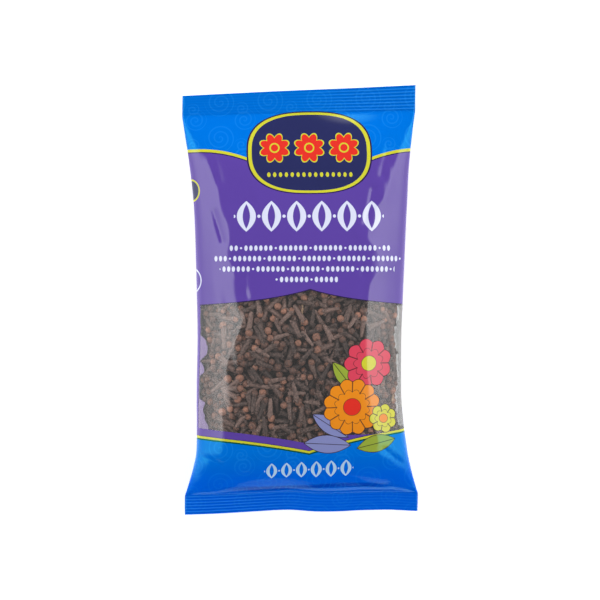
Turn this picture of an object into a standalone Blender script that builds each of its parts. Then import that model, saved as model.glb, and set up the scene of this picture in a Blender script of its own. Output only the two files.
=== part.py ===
"""Sealed film pouch of whole cloves, lying on its back with the printed side up.

One closed solid: a tube of film, crimped shut at both ends and filled with loose cloves.
+X runs across the pouch, +Y along it towards the top seal, +Z up. Lengths are metres.
"""
import math
import random

import bpy

# The film tube, laid flat
FLAT_WIDTH = 0.1288
GIRTH = 2.0 * FLAT_WIDTH
SEAL_SHEET = 0.0007

# Where the seals start and end, along the middle of the pouch
LOW_EDGE_Y = -0.1178
LOW_SEAL_Y = -0.1076
TOP_SEAL_Y = 0.1026
TOP_EDGE_Y = 0.1154

# How far the right end of each line across the pouch is above the left end
LOW_EDGE_RISE = 0.0020
LOW_SEAL_RISE = 0.0014
TOP_SEAL_RISE = 0.0028
TOP_EDGE_RISE = 0.0059
RISE_FADE_BELOW = 0.045
RISE_FADE_ABOVE = 0.060

# The low seal is puckered: how far its lines arch towards the filling, (x, arch)
LOW_SEAL_ARCH = (
    (-0.0605, 0.0000),
    (-0.0429, 0.0004),
    (-0.0253, 0.0011),
    (-0.0077, 0.0018),
    (0.0099, 0.0006),
    (0.0187, 0.0005),
    (0.0360, 0.0009),
    (0.0451, 0.0009),
    (0.0627, 0.0000),
)
ARCH_FADE = 0.0200

# Crimps pressed across both seals, one ridge to every two steps
CRIMP_DEPTH = 0.00050
LOW_SEAL_STEPS = 14
TOP_SEAL_STEPS = 18

# Depth of the filling along the pouch: (y, depth)
FILL_DEPTH = (
    (-0.1076, 0.0000),
    (-0.1040, 0.0060),
    (-0.0985, 0.0130),
    (-0.0915, 0.0198),
    (-0.0845, 0.0250),
    (-0.0760, 0.0278),
    (-0.0640, 0.0304),
    (-0.0480, 0.0320),
    (-0.0240, 0.0326),
    (0.0000, 0.0306),
    (0.0200, 0.0282),
    (0.0400, 0.0256),
    (0.0560, 0.0224),
    (0.0700, 0.0184),
    (0.0820, 0.0132),
    (0.0930, 0.0068),
    (0.1026, 0.0000),
)

# Height of the underside above the floor: (y, height)
UNDERSIDE = (
    (-0.1170, 0.0034),
    (-0.1076, 0.0050),
    (-0.1010, 0.0026),
    (-0.0940, 0.0006),
    (-0.0870, 0.0000),
    (0.0520, 0.0000),
    (0.0640, 0.0003),
    (0.0760, 0.0012),
    (0.0900, 0.0030),
    (0.1026, 0.0050),
    (0.1152, 0.0058),
)

# Sideways drift of the middle line: (y, x)
MIDDLE_LINE = (
    (-0.1170, 0.0006),
    (-0.0850, 0.0010),
    (-0.0700, 0.0002),
    (-0.0500, -0.0006),
    (0.0000, -0.0001),
    (0.0500, 0.0002),
    (0.0740, -0.0004),
    (0.1000, -0.0008),
    (0.1152, -0.0006),
)

# Shape of the cross-section
CROWN_POWER = 2.7
WIDEST_SHARE = 0.46
UNDER_CORNER = 0.42
LARGEST_CORNER = 0.40
TOP_PARTS = 28
BODY_STEPS = 60
END_EASING = 0.09

# Back seam: the root of the fin and its free edge, each a shallow groove
SEAM_ROOT_X = 0.0
SEAM_EDGE_X = 0.0120
GROOVE_HALF = 0.0007
GROOVE_DEPTH = 0.00050
LEFT_UNDER_PARTS = 11
RIGHT_UNDER_PARTS = 9

# Lumps that the cloves push up in the film
LUMP_STEP = 0.0085
LUMP_HEIGHT = 0.00055
LUMP_SEED = 41
LUMP_FREE_SIDE = 0.012
FULL_LUMP_DEPTH = 0.006

# Creases in the upper film: (x0, y0, x1, y1, depth, half width)
CREASES = (
    (-0.052, -0.1020, 0.049, -0.1045, 0.0011, 0.0022),
    (-0.058, -0.0850, -0.043, -0.0905, 0.0012, 0.0022),
    (-0.050, -0.1040, -0.036, -0.0860, 0.0012, 0.0026),
    (-0.021, -0.1045, -0.017, -0.0920, 0.0009, 0.0024),
    (0.014, -0.1045, 0.018, -0.0880, 0.0010, 0.0026),
    (0.036, -0.1040, 0.030, -0.0900, 0.0009, 0.0024),
    (0.055, -0.1000, 0.040, -0.0830, 0.0012, 0.0026),
    (-0.054, 0.0990, -0.047, 0.0740, 0.0009, 0.0028),
    (-0.031, 0.1000, -0.026, 0.0830, 0.0007, 0.0026),
    (0.004, 0.1000, 0.002, 0.0860, 0.0006, 0.0026),
    (0.029, 0.1000, 0.025, 0.0800, 0.0007, 0.0026),
    (0.054, 0.0990, 0.046, 0.0720, 0.0010, 0.0028),
    (-0.047, 0.0540, -0.036, 0.0180, 0.0008, 0.0034),
    (0.045, 0.0560, 0.034, 0.0230, 0.0008, 0.0034),
)

# Slow bends of the flat seals: height, length of a wave and where each wave starts, in radians
SEAL_BEND = 0.0009
LOW_BEND_LENGTH = 0.0710
LOW_BEND_START = 0.6
TOP_BEND_LENGTH = 0.0958
TOP_BEND_START = 2.4
BEND_INTO_FILLING = 0.012
BEND_FADE = 0.014


def smooth_step(value):
    value = min(max(value, 0.0), 1.0)
    return value * value * (3.0 - 2.0 * value)


def along(table, y):
    """Smooth reading of a (y, value) table."""
    if y <= table[0][0]:
        return table[0][1]
    if y >= table[-1][0]:
        return table[-1][1]
    last = len(table) - 1
    k = 0
    while table[k + 1][0] < y:
        k += 1
    y0, v0 = table[k]
    y1, v1 = table[k + 1]
    before = table[max(k - 1, 0)]
    after = table[min(k + 2, last)]
    step = (v1 - v0) / (y1 - y0)
    slope_in = 0.0
    slope_out = 0.0
    if k > 0:
        step_in = (v0 - before[1]) / (y0 - before[0])
        if step_in * step > 0.0:
            slope_in = 2.0 * step_in * step / (step_in + step)
    else:
        slope_in = step
    if k + 1 < last:
        step_out = (after[1] - v1) / (after[0] - y1)
        if step_out * step > 0.0:
            slope_out = 2.0 * step_out * step / (step_out + step)
    else:
        slope_out = step
    span = y1 - y0
    t = (y - y0) / span
    value = v0 * (2.0 * t ** 3 - 3.0 * t ** 2 + 1.0)
    value += v1 * (3.0 * t ** 2 - 2.0 * t ** 3)
    value += span * slope_in * (t ** 3 - 2.0 * t ** 2 + t)
    value += span * slope_out * (t ** 3 - t ** 2)
    return value


def line_rise(y):
    """Slope of the line across the pouch at this place along it."""
    table = (
        (LOW_EDGE_Y, LOW_EDGE_RISE),
        (LOW_SEAL_Y, LOW_SEAL_RISE),
        (LOW_SEAL_Y + RISE_FADE_BELOW, 0.0),
        (TOP_SEAL_Y - RISE_FADE_ABOVE, 0.0),
        (TOP_SEAL_Y, TOP_SEAL_RISE),
        (TOP_EDGE_Y, TOP_EDGE_RISE),
    )
    return along(table, y) / FLAT_WIDTH


def upper_curve(half, depth, count):
    """Points from the left side over the crown to the right side."""
    rise = depth * (1.0 - WIDEST_SHARE)
    power = 2.0 / CROWN_POWER
    points = []
    for k in range(count + 1):
        angle = math.pi * k / count
        across = math.cos(angle)
        x = -math.copysign(abs(across) ** power, across) * half
        z = rise * abs(math.sin(angle)) ** power
        points.append((x, z))
    points[0] = (-half, 0.0)
    points[-1] = (half, 0.0)
    return points


def under_curve(half, depth, count):
    """Points from the left side down to the flat underside and up to the right side."""
    drop = depth * WIDEST_SHARE
    corner = min(UNDER_CORNER * depth, LARGEST_CORNER * half)
    points = []
    for k in range(count + 1):
        angle = 0.5 * math.pi * k / count
        points.append((-half + corner * (1.0 - math.cos(angle)), -drop * math.sin(angle)))
    flat = half - corner
    for k in range(1, count):
        points.append((-flat + 2.0 * flat * k / count, -drop))
    for k in range(count + 1):
        angle = 0.5 * math.pi * (1.0 - k / count)
        points.append((half - corner * (1.0 - math.cos(angle)), -drop * math.sin(angle)))
    return points


def lengths(points):
    total = [0.0]
    for (x0, z0), (x1, z1) in zip(points[:-1], points[1:]):
        total.append(total[-1] + math.hypot(x1 - x0, z1 - z0))
    return total


def point_at(points, total, distance):
    distance = min(max(distance, 0.0), total[-1])
    k = 0
    while k < len(total) - 2 and total[k + 1] < distance:
        k += 1
    span = total[k + 1] - total[k]
    share = 0.0 if span <= 0.0 else (distance - total[k]) / span
    x = points[k][0] + (points[k + 1][0] - points[k][0]) * share
    z = points[k][1] + (points[k + 1][1] - points[k][1]) * share
    return x, z


def half_width(depth):
    """Half width at which the film's fixed girth closes around this depth."""
    low = 0.30 * FLAT_WIDTH
    high = 0.50 * FLAT_WIDTH
    for _ in range(40):
        middle = 0.5 * (low + high)
        around = lengths(upper_curve(middle, depth, 80))[-1]
        around += lengths(under_curve(middle, depth, 24))[-1]
        if around > GIRTH:
            high = middle
        else:
            low = middle
    return low


def lump_grid():
    """Seeded heights on a square grid over the pouch."""
    source = random.Random(LUMP_SEED)
    columns = int(0.16 / LUMP_STEP) + 3
    rows = int(0.26 / LUMP_STEP) + 3
    return [[source.uniform(-1.0, 1.0) for _ in range(columns)] for _ in range(rows)]


LUMPS = lump_grid()


def lump(x, y):
    column = (x + 0.08) / LUMP_STEP
    row = (y + 0.13) / LUMP_STEP
    i = int(column)
    j = int(row)
    fx = smooth_step(column - i)
    fy = smooth_step(row - j)
    low = LUMPS[j][i] * (1.0 - fx) + LUMPS[j][i + 1] * fx
    high = LUMPS[j + 1][i] * (1.0 - fx) + LUMPS[j + 1][i + 1] * fx
    return LUMP_HEIGHT * (low * (1.0 - fy) + high * fy)


def crease(x, y):
    total = 0.0
    for x0, y0, x1, y1, depth, half in CREASES:
        run = (x1 - x0) ** 2 + (y1 - y0) ** 2
        share = ((x - x0) * (x1 - x0) + (y - y0) * (y1 - y0)) / run
        share = min(max(share, 0.0), 1.0)
        away = math.hypot(x - x0 - share * (x1 - x0), y - y0 - share * (y1 - y0))
        total -= depth * math.exp(-(away / half) ** 2) * (1.0 - 0.5 * share)
    return total


def seal_wave(x, y):
    """Slow bend of the sheet at the sealed ends."""
    low = smooth_step((LOW_SEAL_Y + BEND_INTO_FILLING - y) / BEND_FADE)
    top = smooth_step((y - TOP_SEAL_Y + BEND_INTO_FILLING) / BEND_FADE)
    wave = low * math.sin(2.0 * math.pi * x / LOW_BEND_LENGTH + LOW_BEND_START)
    wave += top * math.sin(2.0 * math.pi * x / TOP_BEND_LENGTH + TOP_BEND_START)
    return SEAL_BEND * wave


def groove(x):
    depth = 0.0
    for centre in (SEAM_ROOT_X, SEAM_EDGE_X):
        if abs(x - centre) < 0.5 * GROOVE_HALF:
            depth = GROOVE_DEPTH
    return depth


def under_stops(points, total):
    """Distances along the underside curve, with stops on both sides of each groove."""
    start = 0
    while points[start][1] > points[len(points) // 2][1] + 1.0e-9:
        start += 1
    flat_from = points[start][0]

    def distance(x):
        return total[start] + (x - flat_from)

    stops = []
    left_end = distance(SEAM_ROOT_X - GROOVE_HALF)
    for k in range(LEFT_UNDER_PARTS):
        stops.append(left_end * k / LEFT_UNDER_PARTS)
    stops.append(left_end)
    stops.append(distance(SEAM_ROOT_X))
    stops.append(distance(SEAM_ROOT_X + GROOVE_HALF))
    stops.append(distance(0.5 * (SEAM_ROOT_X + SEAM_EDGE_X)))
    stops.append(distance(SEAM_EDGE_X - GROOVE_HALF))
    stops.append(distance(SEAM_EDGE_X))
    right_start = distance(SEAM_EDGE_X + GROOVE_HALF)
    stops.append(right_start)
    for k in range(1, RIGHT_UNDER_PARTS + 1):
        stops.append(right_start + (total[-1] - right_start) * k / RIGHT_UNDER_PARTS)
    return stops


def seal_arch(x, y):
    """How far the puckered low seal is drawn towards the filling."""
    return along(LOW_SEAL_ARCH, x) * smooth_step((LOW_SEAL_Y + ARCH_FADE - y) / ARCH_FADE)


def place(x, y, z, base):
    """Put a section point at its station, drifted and turned with the pouch."""
    shifted_y = y + line_rise(y) * x + seal_arch(x, y)
    return (x + along(MIDDLE_LINE, y), shifted_y, z + base + seal_wave(x, y))


def station(y, crimp):
    """One closed ring of points: upper film left to right, then underside right to left."""
    depth = max(along(FILL_DEPTH, y), 0.0)
    lift = along(UNDERSIDE, y)
    half = half_width(depth)
    if depth < 1.0e-6:
        depth = 0.0
    base = lift + depth * WIDEST_SHARE + crimp
    fill = smooth_step(depth / FULL_LUMP_DEPTH)

    upper = upper_curve(half, depth, 160)
    total = lengths(upper)
    ring = []
    for k in range(TOP_PARTS + 1):
        x, z = point_at(upper, total, total[-1] * k / TOP_PARTS)
        edge = smooth_step((half - abs(x)) / LUMP_FREE_SIDE)
        z += fill * edge * (lump(x, y) + crease(x, y))
        ring.append(place(x, y, z + SEAL_SHEET, base))

    under = under_curve(half, depth, 40)
    total = lengths(under)
    stops = under_stops(under, total)
    lower = []
    for distance in stops:
        x, z = point_at(under, total, distance)
        z += groove(x)
        lower.append(place(x, y, z, base))
    return ring, lower


def station_list():
    """Heights of the stations with the crimp at each one."""
    stops = []
    for k in range(LOW_SEAL_STEPS):
        y = LOW_EDGE_Y + (LOW_SEAL_Y - LOW_EDGE_Y) * k / LOW_SEAL_STEPS
        stops.append((y, CRIMP_DEPTH * (0.5 if k % 2 else -0.5)))
    for k in range(BODY_STEPS + 1):
        t = k / BODY_STEPS
        eased = t - END_EASING * math.sin(2.0 * math.pi * t) / math.pi
        stops.append((LOW_SEAL_Y + (TOP_SEAL_Y - LOW_SEAL_Y) * eased, 0.0))
    for k in range(1, TOP_SEAL_STEPS + 1):
        y = TOP_SEAL_Y + (TOP_EDGE_Y - TOP_SEAL_Y) * k / TOP_SEAL_STEPS
        stops.append((y, CRIMP_DEPTH * (0.5 if k % 2 else -0.5)))
    return stops


def end_faces(upper, lower, flip):
    """Close one end: a strip of triangles between its upper and lower edge."""
    faces = []
    i = 0
    j = 0
    while i < len(upper) - 1 or j < len(lower) - 1:
        step_upper = (i + 1) / (len(upper) - 1)
        step_lower = (j + 1) / (len(lower) - 1)
        if j == len(lower) - 1 or (i < len(upper) - 1 and step_upper <= step_lower):
            face = (upper[i], upper[i + 1], lower[j])
            i += 1
        else:
            face = (upper[i], lower[j + 1], lower[j])
            j += 1
        faces.append(face[::-1] if flip else face)
    return faces


def build_pouch():
    verts = []
    upper_rows = []
    lower_rows = []
    for y, crimp in station_list():
        upper, lower = station(y, crimp)
        start = len(verts)
        verts.extend(upper)
        upper_rows.append(list(range(start, start + len(upper))))
        start = len(verts)
        verts.extend(lower)
        lower_rows.append(list(range(start, start + len(lower))))

    faces = []
    for row in range(len(upper_rows) - 1):
        top_a = upper_rows[row]
        top_b = upper_rows[row + 1]
        low_a = lower_rows[row]
        low_b = lower_rows[row + 1]
        for k in range(len(top_a) - 1):
            faces.append((top_a[k], top_a[k + 1], top_b[k + 1], top_b[k]))
        for k in range(len(low_a) - 1):
            faces.append((low_a[k + 1], low_a[k], low_b[k], low_b[k + 1]))
        faces.append((low_a[0], top_a[0], top_b[0], low_b[0]))
        faces.append((top_a[-1], low_a[-1], low_b[-1], top_b[-1]))
    faces.extend(end_faces(upper_rows[0], lower_rows[0], True))
    faces.extend(end_faces(upper_rows[-1], lower_rows[-1], False))

    middle_x = 0.5 * (min(v[0] for v in verts) + max(v[0] for v in verts))
    middle_y = 0.5 * (min(v[1] for v in verts) + max(v[1] for v in verts))
    floor_z = min(v[2] for v in verts)
    verts = [(x - middle_x, y - middle_y, z - floor_z) for x, y, z in verts]

    mesh = bpy.data.meshes.new("pouch")
    mesh.from_pydata(verts, [], faces)
    mesh.validate()
    mesh.update()
    for polygon in mesh.polygons:
        polygon.use_smooth = False
    pouch = bpy.data.objects.new("pouch", mesh)
    bpy.context.scene.collection.objects.link(pouch)
    return pouch


def film_material():
    material = bpy.data.materials.new("printed_film")
    material.use_nodes = True
    shader = material.node_tree.nodes["Principled BSDF"]
    shader.inputs["Base Color"].default_value = (0.13, 0.08, 0.40, 1.0)
    shader.inputs["Roughness"].default_value = 0.22
    return material


for old in list(bpy.data.objects):
    bpy.data.objects.remove(old, do_unlink=True)

pouch = build_pouch()
pouch.data.materials.append(film_material())
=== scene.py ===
"""A sealed film pouch of whole cloves, lying on its back and seen from straight above.

The film, its print and the loose cloves under its clear window replace the plain solid.
Lengths are metres: +X across the pouch, +Y along it towards the top seal, +Z up.
"""
import math

import bpy
import numpy as np
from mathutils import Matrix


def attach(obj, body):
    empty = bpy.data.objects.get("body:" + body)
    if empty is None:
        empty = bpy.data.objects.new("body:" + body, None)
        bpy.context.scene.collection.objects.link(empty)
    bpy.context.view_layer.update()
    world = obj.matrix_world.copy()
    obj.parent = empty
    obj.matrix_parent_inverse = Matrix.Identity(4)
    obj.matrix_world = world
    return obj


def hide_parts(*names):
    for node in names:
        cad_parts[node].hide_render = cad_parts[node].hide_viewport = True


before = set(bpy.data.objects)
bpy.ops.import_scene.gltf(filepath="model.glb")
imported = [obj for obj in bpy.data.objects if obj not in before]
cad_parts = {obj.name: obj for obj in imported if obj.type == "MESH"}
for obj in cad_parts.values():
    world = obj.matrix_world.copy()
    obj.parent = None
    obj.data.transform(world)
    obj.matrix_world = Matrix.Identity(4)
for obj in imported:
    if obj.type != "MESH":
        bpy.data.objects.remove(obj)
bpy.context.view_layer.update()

# The film tube, laid flat
FLAT_WIDTH = 0.1288
SEAL_SHEET = 0.0007
FILM_SHEET = 0.0004
UNDER_GAP = SEAL_SHEET - FILM_SHEET

# Where the seals start and end, along the middle of the pouch
LOW_EDGE_Y = -0.1178
LOW_SEAL_Y = -0.1076
TOP_SEAL_Y = 0.1026
TOP_EDGE_Y = 0.1154

# Depth of the filling along the pouch: (y, depth)
FILL_DEPTH = (
    (-0.1076, 0.0000),
    (-0.1040, 0.0060),
    (-0.0985, 0.0130),
    (-0.0915, 0.0198),
    (-0.0845, 0.0250),
    (-0.0760, 0.0278),
    (-0.0640, 0.0304),
    (-0.0480, 0.0320),
    (-0.0240, 0.0326),
    (0.0000, 0.0306),
    (0.0200, 0.0282),
    (0.0400, 0.0256),
    (0.0560, 0.0224),
    (0.0700, 0.0184),
    (0.0820, 0.0132),
    (0.0930, 0.0068),
    (0.1026, 0.0000),
)

# Height of the underside above the floor: (y, height)
UNDERSIDE = (
    (-0.1170, 0.0034),
    (-0.1076, 0.0050),
    (-0.1010, 0.0026),
    (-0.0940, 0.0006),
    (-0.0870, 0.0000),
    (0.0520, 0.0000),
    (0.0640, 0.0003),
    (0.0760, 0.0012),
    (0.0900, 0.0030),
    (0.1026, 0.0050),
    (0.1152, 0.0058),
)

# Sideways drift of the middle line: (y, x)
MIDDLE_LINE = (
    (-0.1170, 0.0006),
    (-0.0850, 0.0010),
    (-0.0700, 0.0002),
    (-0.0500, -0.0006),
    (0.0000, -0.0001),
    (0.0500, 0.0002),
    (0.0740, -0.0004),
    (0.1000, -0.0008),
    (0.1152, -0.0006),
)

# How far the right end of a line across the film is above its left end: (y, rise)
LINE_RISE = (
    (-0.1170, 0.0020),
    (-0.1076, 0.0014),
    (-0.0626, 0.0),
    (0.0426, 0.0),
    (0.1026, 0.0028),
    (0.1154, 0.0059),
)

# The low seal is puckered: how far its lines arch towards the filling, (x, arch)
LOW_SEAL_ARCH = (
    (-0.0605, 0.0000),
    (-0.0429, 0.0004),
    (-0.0253, 0.0011),
    (-0.0077, 0.0018),
    (0.0099, 0.0006),
    (0.0187, 0.0005),
    (0.0360, 0.0009),
    (0.0451, 0.0009),
    (0.0627, 0.0000),
)
ARCH_FADE = 0.0200

# Shape of the cross-section, and how finely it is worked out
CROWN_POWER = 2.7
WIDEST_SHARE = 0.46
UNDER_CORNER = 0.42
CORNER_LIMIT = 0.4
CROWN_POINTS = 161
CORNER_POINTS = 41
SECTION_COUNT = 240

# The half width is looked for between these shares of the flat width
HALF_WIDTH_RANGE = (0.30, 0.50)
HALVINGS = 30

# Crimps of the seals, and how they fade along each seal: (weakest share, x where weakest, x where full)
CRIMP_PITCH = 0.00162
CRIMP_HEIGHT = 0.00022
CRIMP_RISE = 0.0006
LOW_CRIMP = (0.30, 0.020, -0.040)
TOP_CRIMP = (0.12, -0.010, 0.040)

# Slow bend of the sheet at the sealed ends: (length of the wave, its start)
WAVE_HEIGHT = 0.0009
WAVE_REACH = 0.012
WAVE_FADE = 0.014
LOW_WAVE = (0.0710, 0.6)
TOP_WAVE = (0.0958, 2.4)

# Steps of the film's mesh, finer in the fold above the low seal and in the seals
FRONT_STEP = 0.00095
BACK_STEP = 0.0025
FRONT_REACH = 0.0720
BODY_STEP = 0.00075
FOLD_STRETCH = 0.0120
SEAL_STEP = 0.00028

# The print's middle lies to the right of the pouch's, and drifts: (y, shift)
PRINT_MIDDLE = 0.0056
PRINT_DRIFT = (
    (-0.1170, -0.0020),
    (-0.0800, -0.0016),
    (-0.0300, 0.0),
)

# Its lines climb to the right: (y, slope)
PRINT_CLIMB = (
    (-0.1170, 0.030),
    (-0.0760, 0.055),
    (-0.0500, 0.030),
    (0.0060, 0.0),
    (0.0400, 0.004),
    (0.0840, -0.006),
)

# The clear window, in the print's own places
WINDOW_LEFT = -0.0627
WINDOW_RIGHT = 0.0740
WINDOW_PEAK = 0.0053
WINDOW_FALL = 0.0100
WINDOW_FALL_LENGTH = 0.0330
BAND_TIP = -0.0782
BAND_SLOPE = 0.255
BAND_CURVE = 1.45

# To the right the band narrows until the window meets the yellow line
BAND_NARROW_FROM = 0.0120
BAND_NARROW_TO = 0.0380
BAND_NARROWING = 0.0038

# Light and view
FRAME_WIDTH = 0.3300
CAMERA_HEIGHT = 1.30
SHARP_HEIGHT = 0.010
SENSOR_WIDTH = 36.0

# Glow of the sky: side lights begin this far towards the side, as a share of a unit direction
PANEL_EDGE = 0.45
PANEL_SOFTNESS = 0.06
PANEL_GLOW = 2.7
PANEL_OUTER = 1.4
PANEL_LEAN = 0.15
PANEL_FOOT = -0.80
PANEL_FOOT_FULL = -0.45
PANEL_OUTER_FROM = 0.60
BACK_GLOW = 3.5
BACK_FROM = 0.90
BACK_FULL = 0.97
CEILING_GLOW = 0.02

# The floor, just under the pouch
FLOOR_HALF = 4.0
FLOOR_DROP = 0.0002
FLOOR_GLOW = 0.50
FLOOR_DARK = (0.90, 0.90, 0.90, 1.0)
FLOOR_LIGHT = (0.94, 0.94, 0.94, 1.0)

# Guards against division by nothing
TINY = 1.0e-6
TINY_AREA = 1.0e-9


def along(table, y):
    """Smooth reading of a (y, value) table at an array of places."""
    stops = np.array([row[0] for row in table])
    values = np.array([row[1] for row in table])
    steps = np.diff(values) / np.diff(stops)
    slopes = np.zeros(len(table))
    slopes[0] = steps[0]
    slopes[-1] = steps[-1]
    same = steps[:-1] * steps[1:] > 0.0
    total = np.where(same, steps[:-1] + steps[1:], 1.0)
    slopes[1:-1] = np.where(same, 2.0 * steps[:-1] * steps[1:] / total, 0.0)
    y = np.clip(np.asarray(y, float), stops[0], stops[-1])
    k = np.clip(np.searchsorted(stops, y, side="right") - 1, 0, len(table) - 2)
    span = stops[k + 1] - stops[k]
    t = (y - stops[k]) / span
    value = values[k] * (2.0 * t ** 3 - 3.0 * t ** 2 + 1.0)
    value = value + values[k + 1] * (3.0 * t ** 2 - 2.0 * t ** 3)
    value = value + span * slopes[k] * (t ** 3 - 2.0 * t ** 2 + t)
    return value + span * slopes[k + 1] * (t ** 3 - t ** 2)


def smooth_step(value):
    """A smooth rise from 0 to 1 as the value goes from 0 to 1."""
    value = np.clip(value, 0.0, 1.0)
    return value * value * (3.0 - 2.0 * value)


def within(y, stretch):
    """1 inside a stretch, given as (low end, top end, low fade, top fade), and 0 outside it."""
    low, top, low_fade, top_fade = stretch
    return smooth_step((top - y) / top_fade) * smooth_step((y - low) / low_fade)


# Relief of the film

# Shallow bends where the film turns down to the sides: (y, x), seen as the inner edge of the side light
LEFT_BEND = (
    (-0.0900, -0.0450),
    (-0.0440, -0.0410),
    (-0.0270, -0.0370),
    (-0.0165, -0.0320),
    (-0.0050, -0.0288),
    (0.0020, -0.0288),
    (0.0090, -0.0335),
    (0.0165, -0.0368),
    (0.0250, -0.0405),
    (0.0330, -0.0390),
    (0.0410, -0.0400),
    (0.0500, -0.0445),
    (0.0600, -0.0450),
    (0.0750, -0.0495),
)
RIGHT_BEND = (
    (-0.0900, 0.0440),
    (-0.0250, 0.0370),
    (0.0000, 0.0372),
    (0.0080, 0.0385),
    (0.0200, 0.0455),
    (0.0270, 0.0420),
    (0.0340, 0.0365),
    (0.0460, 0.0375),
    (0.0550, 0.0455),
    (0.0680, 0.0510),
    (0.0800, 0.0550),
)
BEND_DROP = 0.0011
BEND_REACH = 0.0080

# The relief dies out before the sides, at this distance from the middle of the flat film
RELIEF_END = 0.0630
RELIEF_FADE = 0.0130

# Creases: (x0, y0, x1, y1, depth, half width)
CREASES = (
    (-0.0500, -0.1046, 0.0450, -0.1030, 0.0002, 0.0022),
    (-0.0505, -0.1030, -0.0300, -0.0955, 0.0005, 0.0024),
    (0.0455, -0.1030, 0.0260, -0.0975, 0.0005, 0.0024),
    (0.0253, 0.1089, 0.0330, 0.1122, 0.0002, 0.0004),
    (-0.0215, -0.1128, -0.0180, -0.1140, 0.0002, 0.0004),
    (-0.0560, -0.0850, -0.0440, -0.0895, 0.0009, 0.0020),
    (0.0560, -0.0900, 0.0450, -0.0820, 0.0007, 0.0022),
    (-0.0476, 0.0480, -0.0425, 0.0320, 0.0005, 0.0015),
    (-0.0330, 0.0100, -0.0290, 0.0020, 0.0003, 0.0015),
    (0.0400, 0.0600, 0.0360, 0.0420, 0.0005, 0.0022),
    (0.0300, 0.0330, 0.0345, 0.0130, 0.0003, 0.0020),
    (-0.0300, 0.0130, -0.0285, -0.0020, 0.0003, 0.0020),
    (-0.0480, 0.0850, -0.0440, 0.0650, 0.0004, 0.0030),
    (0.0500, 0.0870, 0.0450, 0.0680, 0.0004, 0.0030),
)

# Where the lumps of the cloves and the bends show: (low end, top end, low fade, top fade)
LUMP_STRETCH = (-0.1050, 0.0900, 0.0150, 0.0500)
BODY_STRETCH = (-0.0960, 0.0900, 0.0150, 0.0200)

# Lumps, slow swells and slanting streaks, each with its pattern of noise: (shift, shift, seed)
LUMP_LENGTH = 0.0080
LUMP_HEIGHT = 0.00007
LUMP_PATTERN = (9.3, 20.1, 5)
SWELL_LENGTH = 0.0380
SWELL_HEIGHT = 0.00035
SWELL_PATTERN = (5.2, 6.7, 8)
STREAK_WIDTH = 0.0050
STREAK_LENGTH = 0.0300
STREAK_HEIGHT = 0.00016
STREAK_SLANT = 0.25
STREAK_PATTERN = (24.0, 12.0, 21)
LATTICE = 64


def value_noise(u, v, pattern):
    """Smooth noise from -1 to 1 on a seeded square lattice of unit step."""
    shift_u, shift_v, seed = pattern
    lattice = np.random.default_rng(seed).uniform(-1.0, 1.0, (LATTICE, LATTICE))
    u = u + shift_u
    v = v + shift_v
    i = np.floor(u).astype(int)
    j = np.floor(v).astype(int)
    fu = smooth_step(u - i)
    fv = smooth_step(v - j)
    rows = []
    for row in (j % LATTICE, (j + 1) % LATTICE):
        rows.append(lattice[i % LATTICE, row] * (1.0 - fu) + lattice[(i + 1) % LATTICE, row] * fu)
    return rows[0] * (1.0 - fv) + rows[1] * fv


def relief(x, y):
    """Height of the film over its smooth form, at places seen from above."""
    body = within(y, BODY_STRETCH)
    lumps = value_noise(x / LUMP_LENGTH, y / LUMP_LENGTH, LUMP_PATTERN)
    swells = value_noise(x / SWELL_LENGTH, y / SWELL_LENGTH, SWELL_PATTERN)
    streaks = value_noise((x + STREAK_SLANT * y) / STREAK_WIDTH, y / STREAK_LENGTH, STREAK_PATTERN)
    height = LUMP_HEIGHT * within(y, LUMP_STRETCH) * lumps
    height = height + SWELL_HEIGHT * swells + STREAK_HEIGHT * body * streaks
    for table, side in ((LEFT_BEND, -1.0), (RIGHT_BEND, 1.0)):
        beyond = np.maximum(side * (x - along(table, y)), 0.0)
        height = height - BEND_DROP * body * (1.0 - np.exp(-beyond / BEND_REACH))
    for x0, y0, x1, y1, depth, half in CREASES:
        run = (x1 - x0) ** 2 + (y1 - y0) ** 2
        share = np.clip(((x - x0) * (x1 - x0) + (y - y0) * (y1 - y0)) / run, 0.0, 1.0)
        away = np.hypot(x - x0 - share * (x1 - x0), y - y0 - share * (y1 - y0))
        height = height - depth * np.exp(-(away / half) ** 1.5)
    return height


# The film's form


def half_section(half, depth):
    """From the middle of the crown round one side to the middle of the underside, with lengths."""
    rise = depth * (1.0 - WIDEST_SHARE)
    drop = depth * WIDEST_SHARE
    power = 2.0 / CROWN_POWER
    angle = np.linspace(0.5 * math.pi, 0.0, CROWN_POINTS)
    crown_x = half * np.clip(np.cos(angle), 0.0, 1.0) ** power
    crown_z = rise * np.clip(np.sin(angle), 0.0, 1.0) ** power
    corner = min(UNDER_CORNER * depth, CORNER_LIMIT * half)
    turn = np.linspace(0.0, 0.5 * math.pi, CORNER_POINTS)[1:]
    corner_x = half - corner * (1.0 - np.cos(turn))
    corner_z = -drop * np.sin(turn)
    x = np.concatenate([crown_x, corner_x, [0.0]])
    z = np.concatenate([crown_z, corner_z, [-drop]])
    length = np.concatenate([[0.0], np.cumsum(np.hypot(np.diff(x), np.diff(z)))])
    return x, z, length


def half_width(depth):
    """Half width at which the film's fixed girth closes around this depth."""
    low, high = (share * FLAT_WIDTH for share in HALF_WIDTH_RANGE)
    for _ in range(HALVINGS):
        middle = 0.5 * (low + high)
        if half_section(middle, depth)[2][-1] > FLAT_WIDTH:
            high = middle
        else:
            low = middle
    return low


SECTION_Y = np.linspace(LOW_EDGE_Y, TOP_EDGE_Y, SECTION_COUNT)
SECTION_DEPTH = np.maximum(along(FILL_DEPTH, SECTION_Y), 0.0) + FILM_SHEET
SECTION_HALF = np.array([half_width(depth) for depth in SECTION_DEPTH])


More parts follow.
